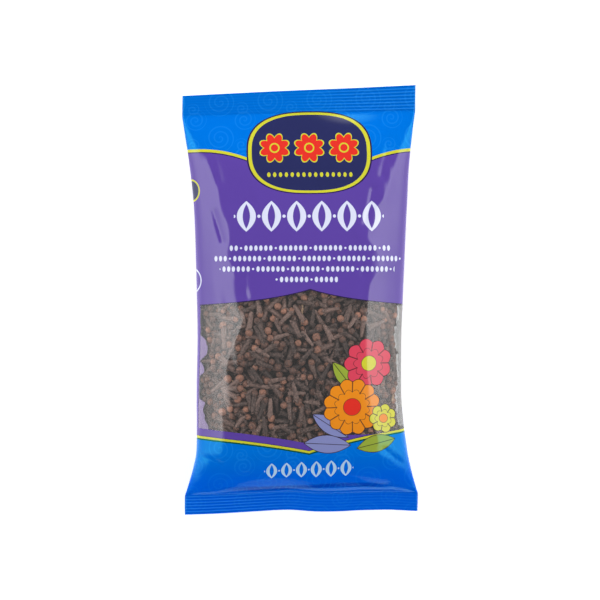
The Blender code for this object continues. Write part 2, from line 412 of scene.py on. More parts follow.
def section(y):
    """Half width and depth of the pouch at a place along it."""
    return np.interp(y, SECTION_Y, SECTION_HALF), np.interp(y, SECTION_Y, SECTION_DEPTH)


def widest_height(y, depth):
    """Height at which the cross-section is widest."""
    return along(UNDERSIDE, y) + UNDER_GAP + depth * WIDEST_SHARE


def film_stations():
    """Places along the film, from the low edge to the top edge."""
    fold_end = LOW_SEAL_Y + FOLD_STRETCH
    low = np.arange(LOW_EDGE_Y, LOW_SEAL_Y, SEAL_STEP)
    fold = np.arange(LOW_SEAL_Y, fold_end, 0.5 * BODY_STEP)
    body = np.arange(fold_end, TOP_SEAL_Y, BODY_STEP)
    top = np.arange(TOP_SEAL_Y, TOP_EDGE_Y, SEAL_STEP)
    return np.concatenate([low, fold, body, top, [TOP_EDGE_Y]])


def film_columns():
    """Places round the film, from the middle of the back round the left side, over the front and back."""
    front = np.linspace(-FRONT_REACH, FRONT_REACH, int(2.0 * FRONT_REACH / FRONT_STEP))
    count = int((FLAT_WIDTH - FRONT_REACH) / BACK_STEP)
    side = np.linspace(FRONT_REACH, FLAT_WIDTH, count)[1:]
    return np.concatenate([-side[::-1], front, side])


def crimp(x, y):
    """Ridges of the two seals from -1 to 1, strongest at the lower left and at the upper right."""
    ridges = 0.0
    ends = (
        (LOW_SEAL_Y - y, y - LOW_EDGE_Y, LOW_CRIMP),
        (y - TOP_SEAL_Y, TOP_EDGE_Y - y, TOP_CRIMP),
    )
    for past_seal, from_edge, (weakest, weak_x, full_x) in ends:
        strength = weakest + (1.0 - weakest) * smooth_step((x - weak_x) / (full_x - weak_x))
        wave = np.cos(2.0 * math.pi * from_edge / CRIMP_PITCH)
        ridges = ridges + smooth_step(past_seal / CRIMP_RISE) * strength * wave
    return ridges


def seal_wave(x, y):
    """Slow bend of the sheet at the sealed ends."""
    wave = 0.0
    for past_seal, (length, start) in ((LOW_SEAL_Y - y, LOW_WAVE), (y - TOP_SEAL_Y, TOP_WAVE)):
        share = smooth_step((past_seal + WAVE_REACH) / WAVE_FADE)
        wave = wave + share * np.sin(2.0 * math.pi * x / length + start)
    return WAVE_HEIGHT * wave


def film_grid():
    """Points of the film, and their places on the flat film with the seal's ridges: station by column."""
    stations = film_stations()
    columns = film_columns()
    points = np.zeros((len(stations), len(columns), 3))
    places = np.zeros_like(points)
    for row, y in enumerate(stations):
        half, depth = section(y)
        curve_x, curve_z, length = half_section(half, depth)
        reach = np.abs(columns) * length[-1] / FLAT_WIDTH
        x = np.sign(columns) * np.interp(reach, length, curve_x)
        z = np.interp(reach, length, curve_z)
        step_x = np.gradient(x)
        step_z = np.gradient(z)
        size = np.maximum(np.hypot(step_x, step_z), TINY_AREA)
        front = smooth_step((RELIEF_END - np.abs(columns)) / RELIEF_FADE)
        height = front * relief(x, np.full(len(x), y))
        x = x - height * step_z / size
        z = z + height * step_x / size
        ridge = crimp(x, y)
        arch = along(LOW_SEAL_ARCH, x) * smooth_step((LOW_SEAL_Y + ARCH_FADE - y) / ARCH_FADE)
        points[row, :, 0] = x + along(MIDDLE_LINE, y)
        points[row, :, 1] = y + along(LINE_RISE, y) * x / FLAT_WIDTH + arch
        points[row, :, 2] = z + widest_height(y, depth) + seal_wave(x, y) + CRIMP_HEIGHT * ridge
        across = columns - PRINT_MIDDLE - along(PRINT_DRIFT, y)
        swing = np.sin(math.pi * across / FLAT_WIDTH) * FLAT_WIDTH / math.pi
        places[row] = np.stack([across, y - along(PRINT_CLIMB, y) * swing, ridge], 1)
    return points, places


def window_distance(place):
    """Negative inside the clear window."""
    across = place[..., 0]
    up = place[..., 1]
    away = np.abs(across)
    top = WINDOW_PEAK - WINDOW_FALL * (1.0 - np.exp(-away / WINDOW_FALL_LENGTH))
    narrow = smooth_step((across - BAND_NARROW_FROM) / (BAND_NARROW_TO - BAND_NARROW_FROM))
    bottom = BAND_TIP + BAND_SLOPE * away - BAND_CURVE * away ** 2 - BAND_NARROWING * narrow
    sides = np.maximum(WINDOW_LEFT - across, across - WINDOW_RIGHT)
    return np.maximum(np.maximum(sides, up - top), bottom - up)


def grid_faces(rows, columns, closed=False, start=0):
    """Quads between the points of a grid; a closed one joins its last column to its first."""
    faces = []
    for row in range(rows - 1):
        for k in range(columns if closed else columns - 1):
            a = start + row * columns + k
            b = start + row * columns + (k + 1) % columns
            faces.append((a, b, b + columns, a + columns))
    return faces


def turned_over(face):
    """The same face seen from its other side."""
    return (face[0], *face[:0:-1])


def split_grid(points, places):
    """Two meshes from the film's grid: outside and inside the window, cut along its edge."""
    rows, columns, _ = points.shape
    flat_points = points.reshape(-1, 3)
    flat_places = places.reshape(-1, 3)
    inside = window_distance(flat_places)
    quads = np.array(grid_faces(rows, columns))
    negative = (inside[quads] < 0.0).sum(1)
    extra_points = []
    extra_places = []
    cuts = {}

    def cut(a, b):
        key = (min(a, b), max(a, b))
        if key not in cuts:
            share = inside[a] / (inside[a] - inside[b])
            extra_points.append(flat_points[a] * (1.0 - share) + flat_points[b] * share)
            extra_places.append(flat_places[a] * (1.0 - share) + flat_places[b] * share)
            cuts[key] = rows * columns + len(extra_points) - 1
        return cuts[key]

    parts = {"print": quads[negative == 0].tolist(), "window": quads[negative == 4].tolist()}
    for quad in quads[(negative > 0) & (negative < 4)].tolist():
        sides = {"print": [], "window": []}
        for a, b in zip(quad, quad[1:] + quad[:1]):
            name = "window" if inside[a] < 0.0 else "print"
            sides[name].append(a)
            if (inside[a] < 0.0) != (inside[b] < 0.0):
                middle = cut(a, b)
                sides["print"].append(middle)
                sides["window"].append(middle)
        for name, polygon in sides.items():
            if len(polygon) > 2:
                parts[name].append(polygon)
    all_points = np.concatenate([flat_points, np.array(extra_points).reshape(-1, 3)])
    all_places = np.concatenate([flat_places, np.array(extra_places).reshape(-1, 3)])
    meshes = {}
    for name, faces in parts.items():
        used = sorted({index for face in faces for index in face})
        renumber = {index: k for k, index in enumerate(used)}
        faces = [tuple(renumber[index] for index in face) for face in faces]
        meshes[name] = (all_points[used], all_places[used], faces)
    return meshes


def add_mesh(name, points, faces, material, smooth=True):
    mesh = bpy.data.meshes.new(name)
    mesh.from_pydata([tuple(point) for point in points], [], faces)
    mesh.validate()
    mesh.update()
    mesh.polygons.foreach_set("use_smooth", [smooth] * len(mesh.polygons))
    mesh.materials.append(material)
    piece = bpy.data.objects.new(name, mesh)
    bpy.context.scene.collection.objects.link(piece)
    return piece


def add_attribute(piece, name, kind, values):
    layer = piece.data.attributes.new(name, kind, "POINT")
    key = "vector" if kind == "FLOAT_VECTOR" else "value"
    layer.data.foreach_set(key, np.asarray(values, np.float32).ravel())


# Materials

WHITE = (1.0, 1.0, 1.0, 1.0)


class Nodes:
    """Short calls that add nodes to the tree of one material or of the world."""

    def __init__(self, owner):
        owner.use_nodes = True
        self.owner = owner
        self.tree = owner.node_tree
        self.shader = self.tree.nodes.get("Principled BSDF")

    def feed(self, node, inputs):
        """Link values to a node's inputs or set them, by the name or number of the input."""
        for name, value in inputs.items():
            if isinstance(value, Value):
                value = value.socket
            if isinstance(value, bpy.types.NodeSocket):
                self.tree.links.new(value, node.inputs[name])
            else:
                node.inputs[name].default_value = value

    def add(self, kind, inputs=None, **settings):
        node = self.tree.nodes.new(kind)
        for setting, value in settings.items():
            setattr(node, setting, value)
        self.feed(node, inputs or {})
        return node

    def maths(self, operation, *values, clamp=False):
        node = self.add("ShaderNodeMath", dict(enumerate(values)), operation=operation, use_clamp=clamp)
        return Value(self, node.outputs[0])

    def parts(self, vector):
        """The three numbers of a vector."""
        node = self.add("ShaderNodeSeparateXYZ", {0: vector})
        return [Value(self, socket) for socket in node.outputs]

    def mix(self, share, first, second):
        return self.add("ShaderNodeMix", {0: share, 6: first, 7: second}, data_type="RGBA").outputs[2]

    def mix_shaders(self, share, first, second):
        return self.add("ShaderNodeMixShader", {0: share, 1: first, 2: second}).outputs[0]

    def place(self):
        """The place in the piece's own frame."""
        return self.add("ShaderNodeTexCoord").outputs["Object"]

    def noise(self, scale, detail):
        inputs = {"Vector": self.place(), "Scale": scale, "Detail": detail, "Roughness": NOISE_ROUGHNESS}
        return Value(self, self.add("ShaderNodeTexNoise", inputs).outputs["Fac"])

    def bump(self, height, distance, strength=1.0):
        inputs = {"Strength": strength, "Distance": distance, "Height": height}
        return self.add("ShaderNodeBump", inputs).outputs["Normal"]

    def attribute(self, name, output):
        return self.add("ShaderNodeAttribute", attribute_name=name).outputs[output]


class Value:
    """A number that nodes work out: arithmetic on it adds nodes to the same tree."""

    def __init__(self, nodes, socket):
        self.nodes = nodes
        self.socket = socket

    def maths(self, operation, *others, clamp=False):
        return self.nodes.maths(operation, self, *others, clamp=clamp)

    def __add__(self, other):
        return self.maths("ADD", other)

    def __sub__(self, other):
        return self.maths("SUBTRACT", other)

    def __rsub__(self, other):
        return self.nodes.maths("SUBTRACT", other, self)

    def __mul__(self, other):
        return self.maths("MULTIPLY", other)

    def __truediv__(self, other):
        return self.maths("DIVIDE", other)

    def __pow__(self, other):
        return self.maths("POWER", other)

    def __neg__(self):
        return self.maths("MULTIPLY", -1.0)

    def __abs__(self):
        return self.maths("ABSOLUTE")

    def wrap(self, step):
        """The place in a cell that repeats at every step, from the middle of the cell."""
        return self.maths("WRAP", 0.5 * step, -0.5 * step)

    def ramp(self, start, end):
        """0 before start and 1 after end, with a smooth rise between them."""
        inputs = {"Value": self, "From Min": start, "From Max": end}
        node = self.nodes.add("ShaderNodeMapRange", inputs, interpolation_type="SMOOTHSTEP")
        return Value(self.nodes, node.outputs[0])


def new_material(name):
    return Nodes(bpy.data.materials.new(name))


def rgb(red, green, blue):
    """A colour picked on screen, 0 to 255, as the linear values that a shader takes."""
    linear = []
    for value in (red, green, blue):
        value = value / 255.0
        linear.append(value / 12.92 if value <= 0.04045 else ((value + 0.055) / 1.055) ** 2.4)
    return (*linear, 1.0)


BLUE = rgb(0, 113, 218)
# Painted shade: the low blue darkens towards its seal, where the film turns away from the light
SHADED_LOW_BLUE = rgb(0, 95, 220)
# Painted shade along the fold above the low seal and in the valleys of the crimps
FOLD_SHADE_BLUE = rgb(0, 66, 180)
# Painted highlight on the ridges of the crimps
RIDGE_HIGHLIGHT_BLUE = rgb(60, 160, 250)
BLUE_SCROLL = rgb(30, 138, 234)
PURPLE = rgb(92, 67, 159)
DARK_LINE = rgb(46, 34, 74)
DARK_GREEN = rgb(16, 84, 66)
YELLOW = rgb(206, 204, 56)
NAVY = rgb(42, 46, 92)
RED = rgb(222, 52, 42)
PALE = rgb(216, 220, 242)
PALE_BLUE = rgb(178, 208, 236)
PINK = rgb(214, 70, 92)
ORANGE = rgb(232, 140, 34)
SLATE = rgb(132, 138, 190)
LEAF = rgb(150, 168, 62)
OUTLINE = rgb(52, 40, 44)

# What the blue ink leaves of a reflection
BLUE_SHEEN = (0.10, 1.0, 1.0, 1.0)

# Softness of a printed edge, and the finish of the film
EDGE_SOFTNESS = 0.00012
FILM_ROUGHNESS = 0.10
FILM_INDEX = 1.55
GRAIN_SCALE = 2600.0
GRAIN_HEIGHT = 0.00001
GLOSS_LEVEL = 0.50
DULL_LOSS = 0.40
CLEAR_TINT = (0.96, 0.96, 0.95, 1.0)
CLEAR_ROUGHNESS = 0.08
HAZE_TINT = (0.80, 0.80, 0.80, 1.0)
HAZE_SHARE = 0.042
SHEET_INDEX = 1.78
NOISE_ROUGHNESS = 0.55


class Print:
    """The film's print, drawn in the flat film's places."""

    def __init__(self, nodes):
        self.nodes = nodes
        self.across, self.up, self.ridge = nodes.parts(nodes.attribute("print_place", "Vector"))
        self.away = abs(self.across)

    def inside(self, distance):
        """1 where the distance is negative and 0 where it is positive, with a soft edge."""
        return self.nodes.maths("MULTIPLY_ADD", distance, -1.0 / EDGE_SOFTNESS, 0.5, clamp=True)

    def either(self, first, second):
        return self.nodes.maths("MAXIMUM", first, second)

    def paint(self, colour, distance, tint, mask=None):
        """The colour with a tint over it inside a shape, and there only inside the mask if one is given."""
        share = self.inside(distance)
        if mask is not None:
            share = share * mask
        return self.nodes.mix(share, colour, tint)

    def moved(self, middle, turn=0.0):
        """The place measured from a middle point, turned by an angle."""
        x = self.across - middle[0]
        y = self.up - middle[1]
        if turn == 0.0:
            return x, y
        cosine = math.cos(turn)
        sine = math.sin(turn)
        return x * cosine + y * sine, y * cosine - x * sine

    def oval(self, x, y, half, power=2.0):
        """Distance to the edge of an oval; a higher power makes it squarer."""
        size = (abs(x / half[0]) ** power + abs(y / half[1]) ** power) ** (1.0 / power)
        return size * min(half) - min(half)

    def blossom(self, x, y, radius, petals, lobe):
        """Distance to a blossom's outline, distance from its middle, and the wave of its petals."""
        radial = (x * x + y * y) ** 0.5
        wave = abs((y.maths("ARCTAN2", x) * (0.5 * petals)).maths("SINE"))
        return radial - (wave * (radius * lobe) + radius * (1.0 - lobe)), radial, wave

    def leaf(self, x, y, half_long, half_wide):
        """Distance to the edge of a pointed leaf that lies along x."""
        share = x / half_long
        return abs(y) - (half_wide - share * share * half_wide)


# Scrolls on the blue: (x, y, reach, pitch, way round)
SCROLL_CELL_X = 0.0270
SCROLL_CELL_Y = 0.0210
SCROLL_HALF = 0.00045
SCROLL_SHARE = 0.30
SCROLL_FADING = 0.6
SCROLL_OPENING = 0.12
SCROLLS = (
    (0.0050, 0.0050, 0.0078, 0.0030, 1.0),
    (0.0185, 0.0155, 0.0062, 0.0025, -1.0),
    (0.0170, 0.0010, 0.0036, 0.0022, -1.0),
)

# The blue ends: painted shade where the low one darkens towards its seal, a painted shade line along its
# fold, its dull stretch, and the crimps of both with painted highlights on their ridges and painted shade in
# their valleys
LOW_SHADE_FROM = -0.0800
LOW_SHADE_TO = -0.1020
FOLD_PLACE = -0.1038
FOLD_HALF = 0.0020
FOLD_REACH = 0.0520
FOLD_WANDER = 0.0007
FOLD_WAVES = 110.0
RIDGE_HIGHLIGHT_SHARE = 0.36
VALLEY_SHADE_SHARE = 0.16
DULL_FROM = -0.0900
DULL_TO = -0.1000
DULL_END = -0.1085

# The lines between blue and purple
TOP_LINE_Y = 0.0821
TOP_LINE_REACH = 0.0605
TOP_LINE_BEND = 0.0450
TOP_LINE_CURVE = 7.3
BAND_REACH = 0.0900
LINE_HALF = 0.0008
LOW_LINE_HALF = 0.0006
LOW_LINE_DROP = 0.0047
DARK_LINE_WIDTH = 0.0006
GREEN_LINE_WIDTH = 0.0009
EDGE_LINE_HALF = 0.0005

# The badge on the top line: an oval, blossoms and a row of beads
BADGE_MIDDLE = (0.0, 0.0806)
BADGE_HALF = (0.0335, 0.0225)
BADGE_POWER = 2.6
BADGE_RIM = 0.0013
BADGE_BLOSSOMS = 3
BADGE_STEP = 0.0190
BADGE_RISE = 0.0025
BADGE_RADIUS = 0.0088
BADGE_PETALS = 8
BADGE_LOBE = 0.30
BADGE_LINE = 0.0007
BADGE_HEART = 0.0024
BADGE_HEART_LINE = 0.0004
BADGE_BEAD_STEP = 0.0032
BADGE_BEAD_DROP = 0.0124
BADGE_BEAD_HALF = (0.0009, 0.0013)
BADGE_BEAD_REACH = 0.0240

# Ornaments where the pouch carries words and marks
SIDE_OVAL_MIDDLE = (-0.0668, 0.0600)
SIDE_OVAL_HALF = (0.0054, 0.0062)
SIDE_RING_MIDDLE = (-0.0680, 0.0105)
SIDE_RING_HALF = (0.0062, 0.0060)
TITLE_MIDDLE = (-0.0008, 0.0454)
TITLE_STEP = 0.0137
TITLE_HALF = (0.0052, 0.0084)
LOW_TITLE_MIDDLE = (0.0, -0.0930)
LOW_TITLE_STEP = 0.0081
LOW_TITLE_HALF = (0.0030, 0.0048)
PODS = 6
SLIT_SHARES = (0.38, 0.80)
POD_BEAD_SHARE = 0.17
ROW_TOP = 0.0280
ROW_STEP = 0.0057
ROW_SHIFT = 0.0007
ROW_HALF_LENGTHS = (0.0442, 0.0530, 0.0484, 0.0170)
BEAD_STEP = 0.0027
BEAD_HALF = (0.0009, 0.0015)
DOT_HALF = (0.0006, 0.0006)
DOT_EVERY = 7.0
DOT_SHIFT = 2.0

# Added to every bead's number so that it is above 0, and how near a number has to come to match
BEADS_BEFORE = 70.0
NEAR_NUMBER = 0.4

# Blossoms over the window: (middle, radius, petals, lobe, colour, heart colour)
WINDOW_BLOSSOMS = (
    ((0.0325, -0.0350), 0.0135, 9, 0.16, PINK, YELLOW),
    ((0.0240, -0.0590), 0.0155, 12, 0.12, ORANGE, RED),
    ((0.0415, -0.0660), 0.0080, 7, 0.18, YELLOW, ORANGE),
)

# Leaves over the window: (middle, half length, half width, turn, colour)
WINDOW_LEAVES = (
    ((0.0100, -0.0790), 0.0125, 0.0048, -0.10, SLATE),
    ((0.0120, -0.0690), 0.0115, 0.0042, -0.62, SLATE),
    ((0.0370, -0.0800), 0.0110, 0.0044, 0.20, LEAF),
    ((0.0190, -0.0420), 0.0100, 0.0036, -0.90, LEAF),
)
OUTLINE_WIDTH = 0.0004
RIB_HALF = 0.00018
SEAM_HALF = 0.00012
INNER_OUTLINE = 0.6 * OUTLINE_WIDTH
INNER_SHARE = 0.62
INNER_LOBE = 1.4
HEART_SHARE = 0.30


def scroll_line(draw, start_x, start_y, reach, pitch, way):
    """One spiral in every cell of the lattice."""
    x = (draw.across - start_x).wrap(SCROLL_CELL_X)
    y = (draw.up - start_y).wrap(SCROLL_CELL_Y)
    radial = (x * x + y * y) ** 0.5
    angle = y.maths("ARCTAN2", x)
    turns = angle * (way / (2.0 * math.pi)) + radial / pitch
    wave = abs(turns.maths("FRACT") - 0.5)
    open_turn = angle * (-way * SCROLL_OPENING * reach / math.pi) + reach
    return draw.inside(wave * pitch - SCROLL_HALF) * draw.inside(radial - open_turn)


def paint_scrolls(draw, ground, share):
    """Faint scrolls on the blue: three spirals, turned opposite ways, in every cell of a lattice."""
    lines = 0.0
    for scroll in SCROLLS:
        lines = draw.either(lines, scroll_line(draw, *scroll))
    return draw.nodes.mix(lines * share, ground, BLUE_SCROLL)


def paint_fold_shade(draw, ground):
    """Painted shade: a dark line along the crease where the body meets the lower seal."""
    middle = (draw.across * FOLD_WAVES).maths("SINE") * FOLD_WANDER + FOLD_PLACE
    line = abs(draw.up - middle).ramp(FOLD_HALF, 0.2 * FOLD_HALF)
    ends = draw.away.ramp(FOLD_REACH, 0.6 * FOLD_REACH)
    return draw.nodes.mix(line * ends, ground, FOLD_SHADE_BLUE)


def paint_fields(draw):
    """Blue at both ends, purple between, with a yellow line at each change; the low blue carries painted
    shade towards its seal and along its fold, and the crimps carry painted highlights and shade.
    """
    # Painted shade: the low blue darkens towards its seal, and the scrolls fade there
    low = draw.up.ramp(LOW_SHADE_FROM, LOW_SHADE_TO)
    blue = paint_fold_shade(draw, draw.nodes.mix(low, BLUE, SHADED_LOW_BLUE))
    blue = paint_scrolls(draw, blue, low * (-SCROLL_FADING * SCROLL_SHARE) + SCROLL_SHARE)
    # Painted highlight on the crimps' ridges and painted shade in their valleys
    for share, tint in ((RIDGE_HIGHLIGHT_SHARE, RIDGE_HIGHLIGHT_BLUE), (-VALLEY_SHADE_SHARE, FOLD_SHADE_BLUE)):
        blue = draw.nodes.mix(draw.ridge.maths("MULTIPLY", share, clamp=True), blue, tint)
    room = (TOP_LINE_REACH - draw.away).maths("MAXIMUM", 0.0).maths("MINIMUM", TOP_LINE_BEND)
    above = draw.up - TOP_LINE_Y + room * room * TOP_LINE_CURVE
    front = draw.away.maths("MINIMUM", BAND_REACH)
    below = front * BAND_SLOPE - front * front * BAND_CURVE + (BAND_TIP - LOW_LINE_DROP) - draw.up
    blue_ink = draw.either(draw.inside(-above), draw.inside(-below))
    colour = draw.nodes.mix(blue_ink, PURPLE, blue)
    lines = (
        (above + LINE_HALF, DARK_LINE, DARK_LINE_WIDTH),
        (below - LOW_LINE_HALF, DARK_GREEN, GREEN_LINE_WIDTH),
        (below + LOW_LINE_HALF, DARK_LINE, 0.5 * DARK_LINE_WIDTH),
        (above, YELLOW, LINE_HALF),
        (below, YELLOW, LOW_LINE_HALF),
    )
    for distance, tint, half in lines:
        colour = draw.paint(colour, abs(distance) - half, tint)
    return colour, blue_ink


def paint_badge(draw, colour):
    """An oval badge with a row of blossoms over a row of beads, and the mask of the oval."""
    x, y = draw.moved(BADGE_MIDDLE)
    oval = draw.oval(x, y, BADGE_HALF, BADGE_POWER)
    colour = draw.paint(colour, oval - DARK_LINE_WIDTH, DARK_LINE)
    colour = draw.paint(colour, oval, YELLOW)
    colour = draw.paint(colour, oval + BADGE_RIM, NAVY)
    row = draw.inside(abs(x) - 0.5 * BADGE_STEP * BADGE_BLOSSOMS)
    cell = x.wrap(BADGE_STEP)
    outline, radial, _ = draw.blossom(cell, y - BADGE_RISE, BADGE_RADIUS, BADGE_PETALS, BADGE_LOBE)
    colour = draw.paint(colour, outline, YELLOW, row)
    colour = draw.paint(colour, outline + BADGE_LINE, RED, row)
    colour = draw.paint(colour, abs(radial - BADGE_HEART) - BADGE_HEART_LINE, YELLOW, row)
    bead = draw.oval(x.wrap(BADGE_BEAD_STEP), y + BADGE_BEAD_DROP, BADGE_BEAD_HALF)
    colour = draw.paint(colour, bead, YELLOW, draw.inside(abs(x) - BADGE_BEAD_REACH))
    return colour, draw.inside(oval)


def paint_side_marks(draw, colour):
    """Two marks that are half round the left side: a small dark oval and a pale ring."""
    oval = draw.oval(*draw.moved(SIDE_OVAL_MIDDLE), SIDE_OVAL_HALF)
    colour = draw.paint(colour, oval, YELLOW)
    colour = draw.paint(colour, oval + LINE_HALF, NAVY)
    ring = abs(draw.oval(*draw.moved(SIDE_RING_MIDDLE), SIDE_RING_HALF))
    return draw.paint(colour, ring - 0.5 * LINE_HALF, PALE)


def paint_frieze(draw, colour, middle, step, half, tint):
    """A row of pale upright pods with a slit, and a small bead between each two."""
    x, y = draw.moved(middle)
    row = draw.inside(abs(x) - 0.5 * step * PODS)
    cell = (x + 0.5 * step).wrap(step)
    pod = draw.leaf(y, cell, half[1], half[0])
    slit = draw.leaf(y, cell, SLIT_SHARES[1] * half[1], SLIT_SHARES[0] * half[0])
    ring = draw.inside(pod) * draw.inside(-slit)
    bead = draw.oval(abs(cell) - 0.5 * step, y, (POD_BEAD_SHARE * half[0], POD_BEAD_SHARE * half[0]))
    return draw.nodes.mix(draw.either(ring, draw.inside(bead)) * row, colour, tint)


def paint_rows(draw, colour):
    """Four rows of small pale upright beads, every seventh of them a dot."""
    rows = (ROW_TOP - draw.up) / ROW_STEP
    number = rows.maths("ROUND")
    half_length = -BEAD_STEP
    for index, length in enumerate(ROW_HALF_LENGTHS):
        match = number.maths("COMPARE", float(index), NEAR_NUMBER)
        half_length = match * (length + BEAD_STEP) + half_length
    x = draw.across + number * ROW_SHIFT
    count = (x / BEAD_STEP).maths("ROUND") + number * DOT_SHIFT + BEADS_BEFORE
    dot = count.maths("MODULO", DOT_EVERY).maths("COMPARE", 0.0, NEAR_NUMBER)
    wide, tall = (dot * (small - large) + large for small, large in zip(DOT_HALF, BEAD_HALF))
    u = x.wrap(BEAD_STEP) / wide
    v = (rows - number) * ROW_STEP / tall
    bead = (u * u + v * v) ** 0.5 * BEAD_HALF[0] - BEAD_HALF[0]
    return draw.paint(colour, bead, PALE, draw.inside(abs(x) - half_length))


def paint_bunch(draw, colour):
    """The bunch of blossoms and leaves over the window: its colour and where it is inked."""
    ink = 0.0
    for middle, half_long, half_wide, turn, tint in WINDOW_LEAVES:
        x, y = draw.moved(middle, turn)
        leaf = draw.leaf(x, y, half_long, half_wide)
        ink = draw.either(ink, draw.inside(leaf - OUTLINE_WIDTH))
        colour = draw.paint(colour, leaf - OUTLINE_WIDTH, OUTLINE)
        colour = draw.paint(colour, leaf, tint)
        colour = draw.paint(colour, abs(y) - RIB_HALF, OUTLINE, draw.inside(leaf))
    for middle, radius, petals, lobe, tint, heart_tint in WINDOW_BLOSSOMS:
        x, y = draw.moved(middle)
        outline, radial, wave = draw.blossom(x, y, radius, petals, lobe)
        ring, _, _ = draw.blossom(x, y, INNER_SHARE * radius, petals, INNER_LOBE * lobe)
        ink = draw.either(ink, draw.inside(outline - OUTLINE_WIDTH))
        colour = draw.paint(colour, outline - OUTLINE_WIDTH, OUTLINE)
        colour = draw.paint(colour, outline, tint)
        colour = draw.paint(colour, wave * radial * (1.0 / petals) - SEAM_HALF, OUTLINE, draw.inside(outline))
        for distance, filling in ((ring, tint), (radial - HEART_SHARE * radius, heart_tint)):
            colour = draw.paint(colour, distance - INNER_OUTLINE, OUTLINE)
            colour = draw.paint(colour, distance, filling)
    return colour, ink


def paint_window_edge(draw, colour):
    """The dark line along the top edge of the window."""
    fall = (draw.away / -WINDOW_FALL_LENGTH).maths("EXPONENT") * WINDOW_FALL
    line = abs(draw.up - (fall + (WINDOW_PEAK - WINDOW_FALL))) - EDGE_LINE_HALF
    return draw.paint(colour, line, DARK_LINE, draw.inside(draw.away + WINDOW_LEFT))


def film_gloss(nodes):
    """Gloss of stretched printed film with a faint grain."""
    grain = nodes.bump(nodes.noise(GRAIN_SCALE, 2.0), GRAIN_HEIGHT, 0.5)
    nodes.feed(nodes.shader, {"Roughness": FILM_ROUGHNESS, "IOR": FILM_INDEX, "Normal": grain})


def printed_film():
    """Opaque print with painted shade and highlights on its blue ends, duller where the film turns down to
    the low seal.
    """
    nodes = new_material("printed_film")
    draw = Print(nodes)
    colour, blue_ink = paint_fields(draw)
    colour, badge = paint_badge(draw, colour)
    colour = paint_side_marks(draw, colour)
    colour = paint_frieze(draw, colour, TITLE_MIDDLE, TITLE_STEP, TITLE_HALF, PALE)
    colour = paint_frieze(draw, colour, LOW_TITLE_MIDDLE, LOW_TITLE_STEP, LOW_TITLE_HALF, PALE_BLUE)
    colour = paint_rows(draw, colour)
    colour, _ = paint_bunch(draw, colour)
    colour = paint_window_edge(draw, colour)
    turned_down = draw.up.ramp(DULL_FROM, DULL_TO) * draw.up.ramp(DULL_END, DULL_TO)
    nodes.feed(nodes.shader, {
        "Base Color": colour,
        "Specular Tint": nodes.mix(blue_ink * (1.0 - badge), WHITE, BLUE_SHEEN),
        "Specular IOR Level": turned_down * -DULL_LOSS + GLOSS_LEVEL,
    })
    film_gloss(nodes)
    return nodes.owner


def window_film():
    """Clear film: it lets the cloves show, mirrors the lamps and carries the printed bunch."""
    nodes = new_material("window_film")
    colour, ink = paint_bunch(Print(nodes), OUTLINE)
    nodes.feed(nodes.shader, {"Base Color": colour})
    film_gloss(nodes)
    clear = nodes.add("ShaderNodeBsdfTransparent", {"Color": CLEAR_TINT}).outputs[0]
    haze = nodes.add("ShaderNodeBsdfDiffuse", {"Color": HAZE_TINT}).outputs[0]
    gloss = nodes.add("ShaderNodeBsdfGlossy", {"Roughness": CLEAR_ROUGHNESS}).outputs[0]
    # A thin sheet reflects alike from both sides, so the index is turned round behind it
    behind = Value(nodes, nodes.add("ShaderNodeNewGeometry").outputs["Backfacing"])
    index = nodes.maths("POWER", SHEET_INDEX, behind * -2.0 + 1.0)
    mirror = nodes.add("ShaderNodeFresnel", {"IOR": index}).outputs[0]
    sheet = nodes.mix_shaders(mirror, nodes.mix_shaders(HAZE_SHARE, clear, haze), gloss)
    whole = nodes.mix_shaders(ink, sheet, nodes.shader.outputs[0])
    nodes.feed(nodes.tree.nodes["Material Output"], {"Surface": whole})
    return nodes.owner


# How the spice's colour varies: within a piece by patches, and from piece to piece by its tint
PATCH_SCALE = 900.0
PATCH_WEIGHT = 1.8
TINT_WEIGHT = 0.8
TINT_SHIFT = 0.90
SPICE_DETAIL = 4.0
SPICE_GLOSS = 0.3


def clove_material(name, dark, light, bump_scale, bump_height, roughness):
    """Dry spice: each piece has a tint of its own, with wrinkles and pale rubbed spots."""
    nodes = new_material(name)
    tint = Value(nodes, nodes.attribute("tint", "Fac"))
    patches = nodes.noise(PATCH_SCALE, SPICE_DETAIL)
    share = patches.maths("MULTIPLY_ADD", PATCH_WEIGHT, tint * TINT_WEIGHT - TINT_SHIFT, clamp=True)
    nodes.feed(nodes.shader, {
        "Base Color": nodes.mix(share, dark, light),
        "Normal": nodes.bump(nodes.noise(bump_scale, SPICE_DETAIL), bump_height),
        "Roughness": roughness,
        "Specular IOR Level": SPICE_GLOSS,
    })
    return nodes.owner


# The cloves

CLOVE_SEED = 2207
CLOVE_COUNTS = {"whole": 740, "bare": 260, "bud": 200, "stalk": 30}
CLOVE_LOW_Y = -0.0850
CLOVE_TOP_Y = 0.0130
CLOVE_REACH = (-0.0720, 0.0780)
CLOVE_TILT = 0.22
SIZE_SPREAD = 0.09
SIZE_RANGE = (0.80, 1.22)

# The layer of loose cloves starts and ends at these depths below the film
SHELL_START = 0.0020
SHELL_DEPTH = 0.0110

# From this share of the front's height up, the film's relief counts in full
FRONT_SHARE = 0.5

